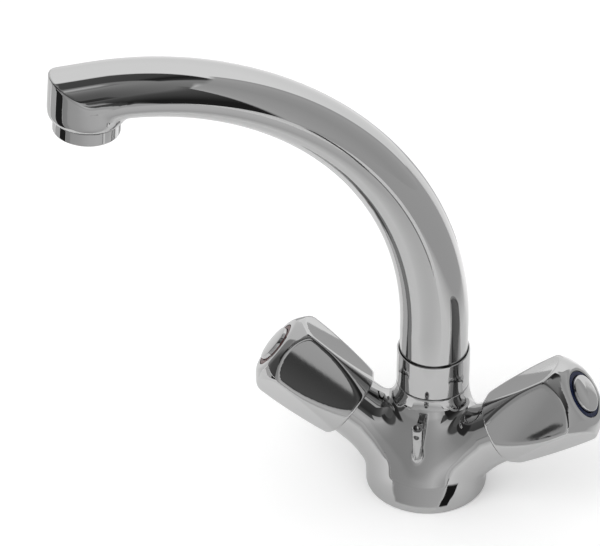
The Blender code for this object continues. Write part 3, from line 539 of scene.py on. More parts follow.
NECK_AXIS = Matrix.Translation((0, NECK_SETBACK, 0))
SWING = Matrix.Rotation(-SPOUT_SWING, 4, 'Z')
NOZZLE_AXIS = (Matrix.Translation((0, -NOZZLE_REACH, NOZZLE_MOUTH_HEIGHT))
               @ Matrix.Rotation(-NOZZLE_LEAN, 4, 'X'))
print("spout axis at", NECK_SETBACK / MM, "mm behind the base's centre")

# %% Field of the spout
CREASE_EDGE = 0.9 * MM
MOUTH_EDGE = 0.8 * MM
NOZZLE_FILLET = 4.0 * MM
NOZZLE_BACK_FILLET = 1.2 * MM
BESIDE_POWER = 3
CREASE_FILLET = 0.1 * MM
NOZZLE_SHOULDER = 1.0 * MM


def spout_field(p):
    x, y, z = p.T
    reach, rise = SPOUT_BEND_RADIUS + y, z - SPOUT_BEND_START
    angle = np.clip(np.arctan2(rise, reach), 0, pi / 2)
    in_bend = (rise > 0) & (reach > 0)
    out = np.where(in_bend, np.hypot(rise, reach), np.where(rise <= 0, reach, rise))
    out = out - SPOUT_BEND_RADIUS
    blend = ease(angle / (pi / 2))
    across = SPOUT_RADIUS + (SPOUT_END_HALF_WIDTH - SPOUT_RADIUS) * blend
    deep = SPOUT_RADIUS + (SPOUT_END_HALF_HEIGHT - SPOUT_RADIUS) * blend
    tube = (np.hypot(x / across, out / deep) - 1) * deep
    inverse = np.array(NOZZLE_AXIS.inverted())
    u, v, w = (p @ inverse[:3, :3].T + inverse[:3, 3]).T
    u = np.abs(u) * NOZZLE_NARROWING
    swell = 1 - (1 - np.clip(w / NOZZLE_HEIGHT, 0, 1)) ** NOZZLE_SWELL_POWER
    radius = NOZZLE_MOUTH_RADIUS + (NOZZLE_TOP_RADIUS - NOZZLE_MOUTH_RADIUS) * swell
    past_side = ease(v / NOZZLE_MOUTH_RADIUS)
    trim = radius + (NOZZLE_TOP_RADIUS - radius + CREASE_EDGE) * past_side
    kept = np.where(w > -NOZZLE_BORE_DEPTH, np.hypot(u, np.minimum(v, 0)) - trim, -SPOUT_RADIUS)
    nozzle = soft_max(np.hypot(u, v) - radius, w - NOZZLE_HEIGHT, NOZZLE_SHOULDER)
    beside = np.clip(u / NOZZLE_MOUTH_RADIUS, 0, 1) ** BESIDE_POWER
    fillet = CREASE_FILLET + past_side * (NOZZLE_BACK_FILLET + NOZZLE_FILLET * beside)
    whole = soft_min(soft_max(tube, kept, CREASE_EDGE), nozzle, fillet)
    past_nozzle = 2 * SPOUT_BEND_RADIUS * ease((v - NOZZLE_TOP_RADIUS) / (2 * NOZZLE_TOP_RADIUS))
    whole = soft_max(whole, -w - past_nozzle, MOUTH_EDGE)
    return soft_max(whole, SPOUT_BOTTOM - z, MOUTH_EDGE)


# %% Cast and bore the spout
SPOUT_CELL = 1.3 * MM


def make_spout():
    side, front = SPOUT_END_HALF_WIDTH + ROOM, NOZZLE_REACH + SPOUT_RADIUS + 2 * ROOM
    top = SPOUT_BEND_START + SPOUT_BEND_RADIUS + SPOUT_END_HALF_HEIGHT + ROOM
    spout = casting("tap_spout", spout_field, (-side, -front, SPOUT_BOTTOM - ROOM),
                    (side, SPOUT_RADIUS + ROOM, top), SPOUT_CELL)
    join(spout, rod(TAIL_RADIUS, TAIL_BOTTOM, SPOUT_BOTTOM + SPOUT_WALL))
    throat_top = NOZZLE_BORE_RADIUS - 2 * SPOUT_WALL
    throat = turned([(NOZZLE_BORE_RADIUS, -OVERRUN), (NOZZLE_BORE_RADIUS, NOZZLE_BORE_DEPTH),
                     (throat_top, NOZZLE_BORE_DEPTH), (throat_top, NOZZLE_HEIGHT)], "throat")
    cut(spout, rod(TAIL_BORE_RADIUS, TAIL_BOTTOM - OVERRUN, SPOUT_BOTTOM + 3 * SPOUT_WALL),
        place(throat, NOZZLE_AXIS))
    return shade_by_field(spout, spout_field)


tap_spout = make_spout()
place(tap_spout, NECK_AXIS @ SWING)
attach(tap_spout, "spout_arm")
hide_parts("spout")
tell(tap_spout)

# %% [markdown]
# ## Turned pieces with soft edges
#
# A lathe tool leaves sharp corners, and polishing rounds them. Each corner of a profile becomes a
# short arc, with one more ring just before and after it, so that the flat faces beside the arc stay
# flat to the eye.

# %% Round the corners of a profile
ARC_STEPS = 4
ARC_LEAD = 1.25
LEAST_TANGENT = 0.1
SHARP_DEGREES = 40


def rounded(profile, radius, loop=False):
    """Profile whose corners are short arcs. A loop has no ends, so each of its points is rounded."""
    points = [Vector(point) for point in profile]
    soft = []
    for i, here in enumerate(points):
        if not loop and i in (0, len(points) - 1):
            soft.append(here)
            continue
        back, ahead = points[i - 1] - here, points[(i + 1) % len(points)] - here
        half = back.angle(ahead) / 2
        reach = min(radius / max(sin(half) / cos(half), LEAST_TANGENT), back.length / 3,
                    ahead.length / 3)
        back, ahead = back.normalized() * reach, ahead.normalized() * reach
        start, end = here + back, here + ahead
        soft.append(here + back * ARC_LEAD)
        for step in range(ARC_STEPS + 1):
            share = step / ARC_STEPS
            soft.append((1 - share) ** 2 * start + 2 * share * (1 - share) * here + share ** 2 * end)
        soft.append(here + ahead * ARC_LEAD)
    return [tuple(point) for point in soft]


def shade_round(obj, degrees=SHARP_DEGREES):
    obj.data.shade_smooth()
    obj.data.set_sharp_from_angle(angle=radians(degrees))
    return obj


print("a square corner becomes", len(rounded([(0, 0), (1, 0), (1, 1)], 0.1)) - 2, "points")

# %% [markdown]
# ## The collar
#
# A plain ring that screws onto the neck and holds the spout down. It stands 0.3 mm clear of the neck
# and its bore 0.3 mm clear of the spout, and those two slits are the dark lines above and below it.

# %% Turn the collar
COLLAR_RADIUS = 14.4 * MM
COLLAR_BOTTOM = NECK_TOP + GAP
COLLAR_TOP = 58.7 * MM
COLLAR_LIP_THICKNESS = 1.5 * MM
COLLAR_LIP_BORE = 11.0 * MM
COLLAR_RECESS_DEPTH = 1.6 * MM
COLLAR_EDGE = 0.3 * MM
LIP_TOP = COLLAR_TOP - COLLAR_RECESS_DEPTH

collar_profile = [
    (THREAD_RADIUS + GAP, COLLAR_BOTTOM), (COLLAR_RADIUS, COLLAR_BOTTOM), (COLLAR_RADIUS, COLLAR_TOP),
    (SPOUT_RADIUS + GAP, COLLAR_TOP), (SPOUT_RADIUS + GAP, LIP_TOP), (COLLAR_LIP_BORE, LIP_TOP),
    (COLLAR_LIP_BORE, LIP_TOP - COLLAR_LIP_THICKNESS),
    (THREAD_RADIUS + GAP, LIP_TOP - COLLAR_LIP_THICKNESS),
]
collar = turned(rounded(collar_profile, COLLAR_EDGE, loop=True), "collar", loop=True)
place(shade_round(collar), NECK_AXIS)
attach(collar, "base")
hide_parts("spout_collar")
tell(collar)

# %% [markdown]
# ## The aerator
#
# A chromed ring screwed into the nozzle holds a plastic cartridge that mixes air into the water.
# From below its mouth shows a fine grid of cells.

# %% Turn the aerator's ring
AERATOR_RADIUS = 12.6 * MM
AERATOR_SHOWING = 5.3 * MM
AERATOR_THREAD_RADIUS = NOZZLE_BORE_RADIUS - GAP
AERATOR_THREAD_LENGTH = 5.4 * MM
AERATOR_WALL = 1.3 * MM
AERATOR_LIP = 1.2 * MM
AERATOR_FOOT = -GAP - AERATOR_SHOWING
AERATOR_INNER = AERATOR_THREAD_RADIUS - AERATOR_WALL
AERATOR_LIP_BORE = AERATOR_INNER - AERATOR_LIP
AERATOR_EDGE = 0.5 * MM
AERATOR_AXIS = NECK_AXIS @ SWING @ NOZZLE_AXIS

aerator_profile = [
    (AERATOR_LIP_BORE, AERATOR_FOOT), (AERATOR_RADIUS, AERATOR_FOOT), (AERATOR_RADIUS, -GAP),
    (AERATOR_THREAD_RADIUS, -GAP), (AERATOR_THREAD_RADIUS, AERATOR_THREAD_LENGTH),
    (AERATOR_INNER, AERATOR_THREAD_LENGTH), (AERATOR_INNER, AERATOR_FOOT + AERATOR_LIP),
    (AERATOR_LIP_BORE, AERATOR_FOOT + AERATOR_LIP),
]
aerator_ring = turned(rounded(aerator_profile, AERATOR_EDGE, loop=True), "aerator_ring", loop=True)
place(shade_round(aerator_ring), AERATOR_AXIS)
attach(aerator_ring, "spout_arm")
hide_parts("aerator_housing")
tell(aerator_ring)

# %% [markdown]
# ## The handles
#
# Each handle is one casting: a turned shape with a flat end, a round shoulder and a long taper, and
# five long flats ground on it. Where two flats meet near the shoulder they make a short ridge, and
# towards the rim they run out to points with the turned surface showing between them.

# %% Field of a handle
HANDLE_OVERLAP = 8.7 * MM
HANDLE_LENGTH = 38.9 * MM
HANDLE_RIM_T = ARM_END_T - HANDLE_OVERLAP
HANDLE_END_T = HANDLE_RIM_T + HANDLE_LENGTH
HANDLE_FACES = 5
HANDLE_FACE_DISTANCE = 15.7 * MM
HANDLE_FACE_RIM_DISTANCE = 15.05 * MM
HANDLE_FLAT_RADIUS = 12.3 * MM
HANDLE_MAX_RADIUS = 19.0 * MM
HANDLE_MAX_S = 8.0 * MM
HANDLE_MIDDLE_RADIUS = 18.3 * MM
HANDLE_MIDDLE_S = 20.0 * MM
HANDLE_RIM_RADIUS = 15.2 * MM
HANDLE_TURN = {"hot": radians(38.0), "cold": radians(25.0)}
MIDDLE_SLOPE = -0.12
RIM_SLOPE = -0.21
RIDGE_EDGE = 1.0 * MM
END_EDGE = 1.2 * MM
RIM_EDGE = 2.1 * MM
FACE_HOLLOW = 0.20 * MM
FACE_CROWN = 0.08 * MM
FACE_HALF_WIDTH = 11.0 * MM


def curve(s, near, far, near_slope, far_slope):
    """Smooth curve between two (s, radius) points with a given slope at each."""
    span = far[0] - near[0]
    u = np.clip((s - near[0]) / span, 0, 1)
    return ((2 * u ** 3 - 3 * u ** 2 + 1) * near[1] + (u ** 3 - 2 * u ** 2 + u) * span * near_slope
            + (3 * u ** 2 - 2 * u ** 3) * far[1] + (u ** 3 - u ** 2) * span * far_slope)


def handle_field(p, turn):
    x, y, t = p.T
    s, r = HANDLE_END_T - t, np.hypot(x, y)
    rise = HANDLE_MAX_RADIUS - HANDLE_FLAT_RADIUS
    back = pi / 2 * np.clip(s / HANDLE_MAX_S, 0, 1)
    steepness = pi / 2 * rise / HANDLE_MAX_S * np.cos(back)
    shoulder = (r - HANDLE_FLAT_RADIUS - rise * np.sin(back)) / np.hypot(1, steepness)
    shoulder = soft_max(shoulder, -s, END_EDGE)
    start = (HANDLE_MAX_S, HANDLE_MAX_RADIUS)
    middle = (HANDLE_MIDDLE_S, HANDLE_MIDDLE_RADIUS)
    rim = (HANDLE_LENGTH, HANDLE_RIM_RADIUS)
    taper = np.where(s < HANDLE_MIDDLE_S, curve(s, start, middle, 0, MIDDLE_SLOPE),
                     curve(s, middle, rim, MIDDLE_SLOPE, RIM_SLOPE))
    shape = np.where(s < HANDLE_MAX_S, shoulder, r - taper)
    drop = (HANDLE_FACE_DISTANCE - HANDLE_FACE_RIM_DISTANCE) / HANDLE_LENGTH
    flats = None
    for i in range(HANDLE_FACES):
        facing = 2 * pi * i / HANDLE_FACES + turn
        flat = x * sin(facing) - y * cos(facing) - HANDLE_FACE_DISTANCE + drop * s
        aside = (x * cos(facing) + y * sin(facing)) / FACE_HALF_WIDTH
        lengthwise = 2 * s / HANDLE_LENGTH - 1
        flat = flat + FACE_HOLLOW * (1 - aside ** 2) + FACE_CROWN * lengthwise ** 2
        flats = flat if flats is None else soft_max(flats, flat, RIDGE_EDGE)
    return soft_max(soft_max(shape, flats, RIDGE_EDGE), s - HANDLE_LENGTH, RIM_EDGE)


# %% Cast and bore the handles
HANDLE_CELL = 0.9 * MM
SKIRT_CLEARANCE = 0.4 * MM
SKIRT_DEPTH = 11.0 * MM
HEADWORK_ROOM_RADIUS = 11.4 * MM
HEADWORK_ROOM_LENGTH = 12.0 * MM
WEB_T = ARM_END_T + HEADWORK_ROOM_LENGTH
SPINDLE_RADIUS = 4.0 * MM
SCREW_HEAD_RADIUS = 3.6 * MM
SOCKET_CAP = 8.2 * MM
SCREW_SEAT_CAP = 6.4 * MM
CAP_RECESS_DEPTH = 3.4 * MM
SOCKET_TOP_T = HANDLE_END_T - SOCKET_CAP
SCREW_SEAT_T = HANDLE_END_T - SCREW_SEAT_CAP
RECESS_FLOOR_T = HANDLE_END_T - CAP_RECESS_DEPTH
INDEX_RADIUS = 9.5 * MM


def make_handle(name, side):
    turn = -side * HANDLE_TURN[name]
    reach = HANDLE_MAX_RADIUS + ROOM

    def field(p):
        return handle_field(p, turn)

    handle = casting(name + "_handle_shell", field, (-reach, -reach, HANDLE_RIM_T - ROOM),
                     (reach, reach, HANDLE_END_T + ROOM), HANDLE_CELL)
    skirt = ARM_RADIUS + SKIRT_CLEARANCE
    room = turned([(skirt, HANDLE_RIM_T - OVERRUN), (skirt, HANDLE_RIM_T + SKIRT_DEPTH),
                   (HEADWORK_ROOM_RADIUS, HANDLE_RIM_T + SKIRT_DEPTH), (HEADWORK_ROOM_RADIUS, WEB_T)],
                  "room")
    cut(handle, room, rod(SPINDLE_RADIUS + GAP, WEB_T - OVERRUN, SOCKET_TOP_T),
        rod(SCREW_HEAD_RADIUS + GAP, SCREW_SEAT_T, RECESS_FLOOR_T + OVERRUN),
        rod(INDEX_RADIUS + GAP, RECESS_FLOOR_T, HANDLE_END_T + OVERRUN, SIDES))
    shade_by_field(handle, field)
    return place(handle, arm_matrix(side))


for name, side in (("hot", -1), ("cold", 1)):
    handle = make_handle(name, side)
    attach(handle, name + "_knob")
    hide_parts(name + "_handle")
    tell(handle)

# %% [markdown]
# ## The index rings and caps
#
# A coloured plastic ring in each handle's end says hot or cold. It is pressed round a small chromed
# cap with a low dome.

# %% Turn the index rings and caps
INDEX_RING_WIDTH = 1.7 * MM
INDEX_RING_HEIGHT = 3.1 * MM
CAP_EDGE_HEIGHT = 4.3 * MM
CAP_DOME = 0.8 * MM
CAP_RADIUS = INDEX_RADIUS - INDEX_RING_WIDTH - GAP
CAP_STEPS = 12
CAP_TIP_RADIUS = 0.02 * MM
INDEX_EDGE = 0.25 * MM
INDEX_SHARP_DEGREES = 50

index_low = RECESS_FLOOR_T + GAP
for name, side in (("hot", -1), ("cold", 1)):
    section = ring_section(INDEX_RADIUS - INDEX_RING_WIDTH, INDEX_RADIUS, index_low,
                           index_low + INDEX_RING_HEIGHT)
    ring = turned(rounded(section, INDEX_EDGE, loop=True), name + "_index_band", loop=True)
    dome = [(CAP_RADIUS * cos(pi / 2 * i / CAP_STEPS), CAP_DOME * sin(pi / 2 * i / CAP_STEPS))
            for i in range(CAP_STEPS)]
    edge = index_low + CAP_EDGE_HEIGHT
    profile = [(CAP_RADIUS - INDEX_EDGE, index_low), (CAP_RADIUS, index_low + INDEX_EDGE)]
    profile += [(r, edge + z) for r, z in dome] + [(CAP_TIP_RADIUS, edge + CAP_DOME)]
    cap = turned(profile, name + "_index_dome")
    for piece, node in ((ring, "_index_ring"), (cap, "_index_cap")):
        place(shade_round(piece, INDEX_SHARP_DEGREES), arm_matrix(side))
        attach(piece, name + "_knob")
        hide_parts(name + node)
        tell(piece)

# %% [markdown]
# ## Effects that several finishes share
#
# Three node groups hold what the finishes have in common. The first is the slight unevenness of any
# polished or moulded skin. The second marks edges, where hands and cloths rub. The third draws the
# fine rings that a lathe leaves.

# %% Build a node group
def new_group(name, inputs, outputs):
    """Empty shader group with named float sockets, and the inside ends of those sockets."""
    group = bpy.data.node_groups.new(name, 'ShaderNodeTree')
    for labels, direction in ((inputs, 'INPUT'), (outputs, 'OUTPUT')):
        for label in labels:
            group.interface.new_socket(label, in_out=direction, socket_type='NodeSocketFloat')
    print("group", name)
    return (group, group.nodes.new("NodeGroupInput").outputs,
            group.nodes.new("NodeGroupOutput").inputs)


def maths(group, operation, first, second):
    node = group.nodes.new("ShaderNodeMath")
    node.operation = operation
    for socket, value in zip(node.inputs, (first, second)):
        if isinstance(value, (int, float)):
            socket.default_value = value
        else:
            group.links.new(value, socket)
    return node.outputs[0]


def texture(group, kind, scale, detail):
    """Texture node fixed to its object, with its scale from a socket."""
    node = group.nodes.new(kind)
    node.inputs["Detail"].default_value = detail
    group.links.new(group.nodes.new("ShaderNodeTexCoord").outputs["Object"], node.inputs["Vector"])
    group.links.new(scale, node.inputs["Scale"])
    return node


def noise(group, scale, detail, roughness):
    node = texture(group, "ShaderNodeTexNoise", scale, detail)
    node.inputs["Roughness"].default_value = roughness
    return node.outputs["Fac"]


# %% Group: an uneven skin
LEAST_ROUGHNESS = 0.01
skin, skin_in, skin_out = new_group("uneven_skin", ["Grain", "Smear", "Base", "Spread"],
                                    ["Roughness", "Height", "Tone"])
smear = noise(skin, skin_in["Smear"], detail=4.0, roughness=0.6)
grain = noise(skin, skin_in["Grain"], detail=2.0, roughness=0.5)
swing = maths(skin, 'MULTIPLY', maths(skin, 'SUBTRACT', smear, 0.5), skin_in["Spread"])
rough = maths(skin, 'ADD', skin_in["Base"], swing)
skin.links.new(maths(skin, 'MAXIMUM', rough, LEAST_ROUGHNESS), skin_out["Roughness"])
skin.links.new(grain, skin_out["Height"])
skin.links.new(smear, skin_out["Tone"])

# %% Group: rubbed edges
wear, wear_in, wear_out = new_group("rubbed_edges", ["Patches", "Amount"], ["Mask"])
edge_value = wear.nodes.new("ShaderNodeAttribute")
edge_value.attribute_name = "edge"
patches = noise(wear, wear_in["Patches"], detail=3.0, roughness=0.7)
worn = maths(wear, 'MULTIPLY', edge_value.outputs["Fac"], patches)
wear.links.new(maths(wear, 'MULTIPLY', worn, wear_in["Amount"]), wear_out["Mask"])

# %% Group: lathe rings
lathe, lathe_in, lathe_out = new_group("lathe_rings", ["Rings", "Wander"], ["Height"])
rings = texture(lathe, "ShaderNodeTexWave", lathe_in["Rings"], detail=2.0)
rings.bands_direction = 'Z'
lathe.links.new(lathe_in["Wander"], rings.inputs["Distortion"])
lathe.links.new(rings.outputs["Fac"], lathe_out["Height"])

# %% [markdown]
# ## The finishes
#
# Each finish is one material: a Principled shader with its own colour and metalness, and the shared
# groups placed with that finish's own values. Chrome plate reflects a little over half of the light
# at every colour, so it is a neutral grey metal. Its roughness is very low, with faint smears from
# handling, and its edges are a touch duller where the plate is rubbed.

# %% Helpers for a finish
def place_group(material, group, **values):
    node = material.node_tree.nodes.new("ShaderNodeGroup")
    node.node_tree = group
    for label, value in values.items():
        node.inputs[label].default_value = value
    return node


def new_finish(name, colour, metallic, grain_mm, dark, **skin_values):
    """Principled material with an uneven skin. grain_mm is the height of its grain, and dark is how
    far its colour falls in the smears."""
    material = bpy.data.materials.new(name)
    material.use_nodes = True
    nodes, links = material.node_tree.nodes, material.node_tree.links
    shader = nodes["Principled BSDF"]
    shader.inputs["Metallic"].default_value = metallic
    group = place_group(material, skin, **skin_values)
    mix = nodes.new("ShaderNodeMix")
    mix.data_type = 'RGBA'
    mix.inputs["A"].default_value = (*[c * (1 - dark) for c in colour], 1)
    mix.inputs["B"].default_value = (*[min(1, c * (1 + dark)) for c in colour], 1)
    links.new(group.outputs["Tone"], mix.inputs["Factor"])
    links.new(mix.outputs["Result"], shader.inputs["Base Color"])
    links.new(group.outputs["Roughness"], shader.inputs["Roughness"])
    bump = nodes.new("ShaderNodeBump")
    bump.inputs["Distance"].default_value = grain_mm * MM
    links.new(group.outputs["Height"], bump.inputs["Height"])
    links.new(bump.outputs["Normal"], shader.inputs["Normal"])
    print("finish", name)
    return material


def add_edge_wear(material, worn_roughness, **values):
    """Where the edge mask is set, the roughness rises towards worn_roughness."""
    nodes, links = material.node_tree.nodes, material.node_tree.links
    mask = place_group(material, wear, **values)
    mix = nodes.new("ShaderNodeMix")
    links.new(mask.outputs["Mask"], mix.inputs["Factor"])
    links.new(nodes["Group"].outputs["Roughness"], mix.inputs["A"])
    mix.inputs["B"].default_value = worn_roughness
    links.new(mix.outputs["Result"], nodes["Principled BSDF"].inputs["Roughness"])


def add_lathe_rings(material, **values):
    height = place_group(material, lathe, **values).outputs["Height"]
    material.node_tree.links.new(height, material.node_tree.nodes["Bump"].inputs["Height"])


# %% Chrome plate
RUBBED_ROUGHNESS = 0.16
chrome = new_finish("chrome_plate", colour=(0.55, 0.55, 0.55), metallic=1.0, grain_mm=0.0012,
                    dark=0.012, Grain=420.0, Smear=55.0, Base=0.035, Spread=0.03)
add_edge_wear(chrome, RUBBED_ROUGHNESS, Patches=500.0, Amount=0.6)

# %% [markdown]
# ## The metals, rubber, ceramic and plastics
#
# Most of these are hidden until the tap is taken apart. The brass and steel pieces keep the fine
# rings of the lathe, so their bump comes from the rings and not from the grain. The others aren't
# metals: a plain colour and the right roughness tell matt rubber from ground ceramic and from
# moulded plastic. The white insert shows in the aerator's mouth, from below, and the red and blue in
# the handles' ends. Those two are dark, with a low gloss, so that they keep their colour.

# %% Machined brass
brass = new_finish("machined_brass", colour=(0.66, 0.50, 0.24), metallic=1.0, grain_mm=0.02,
                   dark=0.12, Grain=1500.0, Smear=90.0, Base=0.30, Spread=0.16)
add_lathe_rings(brass, Rings=900.0, Wander=1.5)

# %% Drawn steel
steel = new_finish("drawn_steel", colour=(0.50, 0.51, 0.52), metallic=1.0, grain_mm=0.01,
                   dark=0.08, Grain=1800.0, Smear=120.0, Base=0.28, Spread=0.14)
add_lathe_rings(steel, Rings=1200.0, Wander=0.8)

# %% Black rubber
rubber = new_finish("black_rubber", colour=(0.022, 0.022, 0.022), metallic=0.0, grain_mm=0.03,
                    dark=0.25, Grain=2600.0, Smear=180.0, Base=0.72, Spread=0.2)

# %% Ground ceramic
ceramic = new_finish("ground_ceramic", colour=(0.80, 0.78, 0.74), metallic=0.0, grain_mm=0.004,
                     dark=0.02, Grain=3000.0, Smear=140.0, Base=0.22, Spread=0.08)

# %% White acetal
white_plastic = new_finish("white_acetal", colour=(0.74, 0.74, 0.72), metallic=0.0, grain_mm=0.012,
                           dark=0.03, Grain=2200.0, Smear=80.0, Base=0.42, Spread=0.12)

# %% Red and blue index plastics
INDEX_GLOSS = 0.2
INDEX_SKIN = {"Grain": 1400.0, "Smear": 160.0, "Base": 0.28, "Spread": 0.12}
red_plastic = new_finish("hot_red_plastic", colour=(0.075, 0.012, 0.011), metallic=0.0,
                         grain_mm=0.006, dark=0.1, **INDEX_SKIN)
blue_plastic = new_finish("cold_blue_plastic", colour=(0.003, 0.009, 0.042), metallic=0.0,
                          grain_mm=0.006, dark=0.1, **INDEX_SKIN)
for plastic in (red_plastic, blue_plastic):
    plastic.node_tree.nodes["Principled BSDF"].inputs["Specular IOR Level"].default_value = INDEX_GLOSS

# %% Dress every piece
def each_side(*endings):
    return [side + ending for ending in endings for side in ("hot_", "cold_")]


DRESS = {
    chrome: ["tap_body", "tap_spout", "collar", "aerator_ring",
             *each_side("handle_shell", "index_dome")],
    brass: ["spout_retaining_ring", *each_side("valve_body", "valve_spindle")],
    steel: each_side("handle_screw", "spindle_circlip"),
    rubber: ["base_seal", "spout_o_ring_lower", "spout_o_ring_upper", "aerator_washer",
             *each_side("spindle_o_ring", "seat_seal")],
    ceramic: each_side("fixed_disc", "moving_disc"),
    white_plastic: ["spout_glide_ring", "aerator_insert"],
    red_plastic: ["hot_index_band"],
    blue_plastic: ["cold_index_band"],
}
for finish, pieces in DRESS.items():
    for name in pieces:
        slots = bpy.data.objects[name].data.materials
        if len(slots) == 0:
            slots.append(finish)
        for i in range(len(slots)):
            slots[i] = finish
print("dressed", sum(len(pieces) for pieces in DRESS.values()), "pieces")

# %% [markdown]
# ## The floor and the light
#
# The floor is white and matt, and the world is white, so that the picture's ground is white and the
# chrome mirrors it. The floor glows a little for the camera alone, which whitens it and leaves its
# shadow. A soft lamp from the upper left casts that shadow and gives the plastic rings some form.

# %% Floor and world
FLOOR_HALF = 6.0
FLOOR_DROP = 0.02 * MM
FLOOR_WHITE = 0.93
FLOOR_LIFT = 0.18
WORLD_LIGHT = 0.82


def bare_material(name):
    """Material that keeps only its output node, and its node tree."""
    material = bpy.data.materials.new(name)
    material.use_nodes = True
    tree = material.node_tree
    tree.nodes.remove(tree.nodes["Principled BSDF"])
    return material, tree


bm = bmesh.new()
bmesh.ops.create_grid(bm, x_segments=1, y_segments=1, size=FLOOR_HALF)
floor = object_from(bm, "floor")
floor.location.z = -FLOOR_DROP

floor_look, tree = bare_material("white_floor")
matt = tree.nodes.new("ShaderNodeBsdfDiffuse")
matt.inputs["Color"].default_value = (FLOOR_WHITE,) * 3 + (1,)
lift = tree.nodes.new("ShaderNodeEmission")
camera_ray = tree.nodes.new("ShaderNodeLightPath").outputs["Is Camera Ray"]
tree.links.new(maths(tree, 'MULTIPLY', camera_ray, FLOOR_LIFT), lift.inputs["Strength"])
added = tree.nodes.new("ShaderNodeAddShader")
tree.links.new(matt.outputs[0], added.inputs[0])
tree.links.new(lift.outputs[0], added.inputs[1])
tree.links.new(added.outputs[0], tree.nodes["Material Output"].inputs["Surface"])
floor.data.materials.append(floor_look)

world = bpy.data.worlds.new("white_studio")
bpy.context.scene.world = world
world.use_nodes = True
tree = world.node_tree
ground = tree.nodes["Background"]
ground.inputs["Color"].default_value = (1, 1, 1, 1)
rays = tree.nodes.new("ShaderNodeLightPath").outputs
seen = maths(tree, 'MAXIMUM', rays["Is Camera Ray"], rays["Is Glossy Ray"])
level = tree.nodes.new("ShaderNodeMapRange")
level.inputs["To Min"].default_value = WORLD_LIGHT
level.inputs["To Max"].default_value = 1.0
tree.links.new(maths(tree, 'MAXIMUM', seen, rays["Is Transmission Ray"]), level.inputs["Value"])
tree.links.new(level.outputs["Result"], ground.inputs["Strength"])
bpy.context.scene.view_settings.view_transform = 'Standard'
print("floor and world set")

# %% A soft lamp
LAMP_PLACE = Vector((-0.7, -0.9, 1.5))
LAMP_TARGET = Vector((0, 0, 0.08))
LAMP_WATTS = 9.0
LAMP_SIZE = 1.2
lamp = new_object("soft_lamp", bpy.data.lights.new("soft_lamp", 'AREA'))
lamp.data.energy = LAMP_WATTS
lamp.data.size = LAMP_SIZE
lamp.matrix_world = pointed(LAMP_PLACE, LAMP_PLACE - LAMP_TARGET)
lamp.visible_glossy = False
print("lamp", LAMP_WATTS, "W")

# %% [markdown]
# ## The studio that the chrome mirrors
#
# A photographer lights chrome by choosing what it mirrors: large soft boxes give the long even
# bands, black flags give the dark lines that draw the shape, and grey walls give the calm middle
# tones. Each of those is a sheet of glowing card here, and none of them is a lamp: the bands, dark
# lines and middle tones that the chrome shows are painted reflections. Cards are bent round the tap,
# boards lie just above the floor for the surfaces that look down, and fences stand close round the
# foot. The boards and fences are the floor as the chrome mirrors it, with its light, its fall-off and
# the tap's shadow painted into their glow. Where two overlap, the nearer card or the higher board is
# seen. Only mirrors see them: they throw no light on the plastic or the floor, and the camera looks
# past them.

# %% Material of the sheets
# One material for every sheet: an emission that paints reflections, with its glow and cover read from
# each sheet's points.
painted_reflection_look, tree = bare_material("painted_reflection_card")
glow = tree.nodes.new("ShaderNodeEmission")
clear = tree.nodes.new("ShaderNodeBsdfTransparent")
blend = tree.nodes.new("ShaderNodeMixShader")
for label, socket in (("glow", glow.inputs["Strength"]), ("cover", blend.inputs["Fac"])):
    value = tree.nodes.new("ShaderNodeAttribute")
    value.attribute_name = label
    tree.links.new(value.outputs["Fac"], socket)
tree.links.new(clear.outputs[0], blend.inputs[1])
tree.links.new(glow.outputs[0], blend.inputs[2])
tree.links.new(blend.outputs[0], tree.nodes["Material Output"].inputs["Surface"])
print("material", painted_reflection_look.name)

# %% Make a glowing sheet
SHEET_STEPS = 32


def across(corners, u, v):
    """Place at the shares u and v between four corners: left foot, left head, right head and right
    foot."""
    a, b, c, d = [np.array(corner) for corner in corners]
    return (a * (1 - v) + b * v) * (1 - u) + (d * (1 - v) + c * v) * u


def as_stops(value):
    return [(0, value), (1, value)] if isinstance(value, (int, float)) else value


def glowing_sheet(name, shape, stops, rise=1, fades=0.03):
    """Sheet whose point at (u, v) is shape(u, v). stops are (share, glow) from left to right, rise is
    (share, factor) from foot to head, and fades are the shares over which the left, lower, right and
    upper rims fade out. A single number holds from end to end, or for all four rims."""
    stops, rise = as_stops(stops), as_stops(rise)
    fades = (fades,) * 4 if isinstance(fades, float) else fades
    bm = bmesh.new()
    bmesh.ops.create_grid(bm, x_segments=SHEET_STEPS, y_segments=SHEET_STEPS, size=0.5)
    glows, covers = [], []
    for vert in bm.verts:
        u, v = vert.co.x + 0.5, vert.co.y + 0.5
        vert.co = shape(u, v)
        glows.append(float(np.interp(u, *zip(*stops)) * np.interp(v, *zip(*rise))))
        rims = zip((u, v, 1 - u, 1 - v), fades)
        covers.append(min([float(ease(rim / fade)) for rim, fade in rims if fade] + [1.0]))
    obj = object_from(bm, name)
    for label, store in (("glow", glows), ("cover", covers)):
        obj.data.attributes.new(label, 'FLOAT', 'POINT').data.foreach_set("value", store)
    obj.data.materials.append(painted_reflection_look)
    for ray in ("camera", "diffuse", "shadow", "transmission", "volume_scatter"):
        setattr(obj, "visible_" + ray, False)
    print("sheet", name)


# %% Cards, boards and fences
STUDIO_CENTRE = Vector((0, 0, 0.10))


def level_point(azimuth, distance, height):
    """Point at a distance from the tap's axis. Azimuth 0 is the tap's front and 90 its right."""
    return Vector((distance * sin(radians(azimuth)), -distance * cos(radians(azimuth)), height))


def aimed(azimuth, elevation, distance):
    """Point at a distance from the tap's middle."""
    a, e = radians(azimuth), radians(elevation)
    return STUDIO_CENTRE + distance * Vector((sin(a) * cos(e), -cos(a) * cos(e), sin(e)))


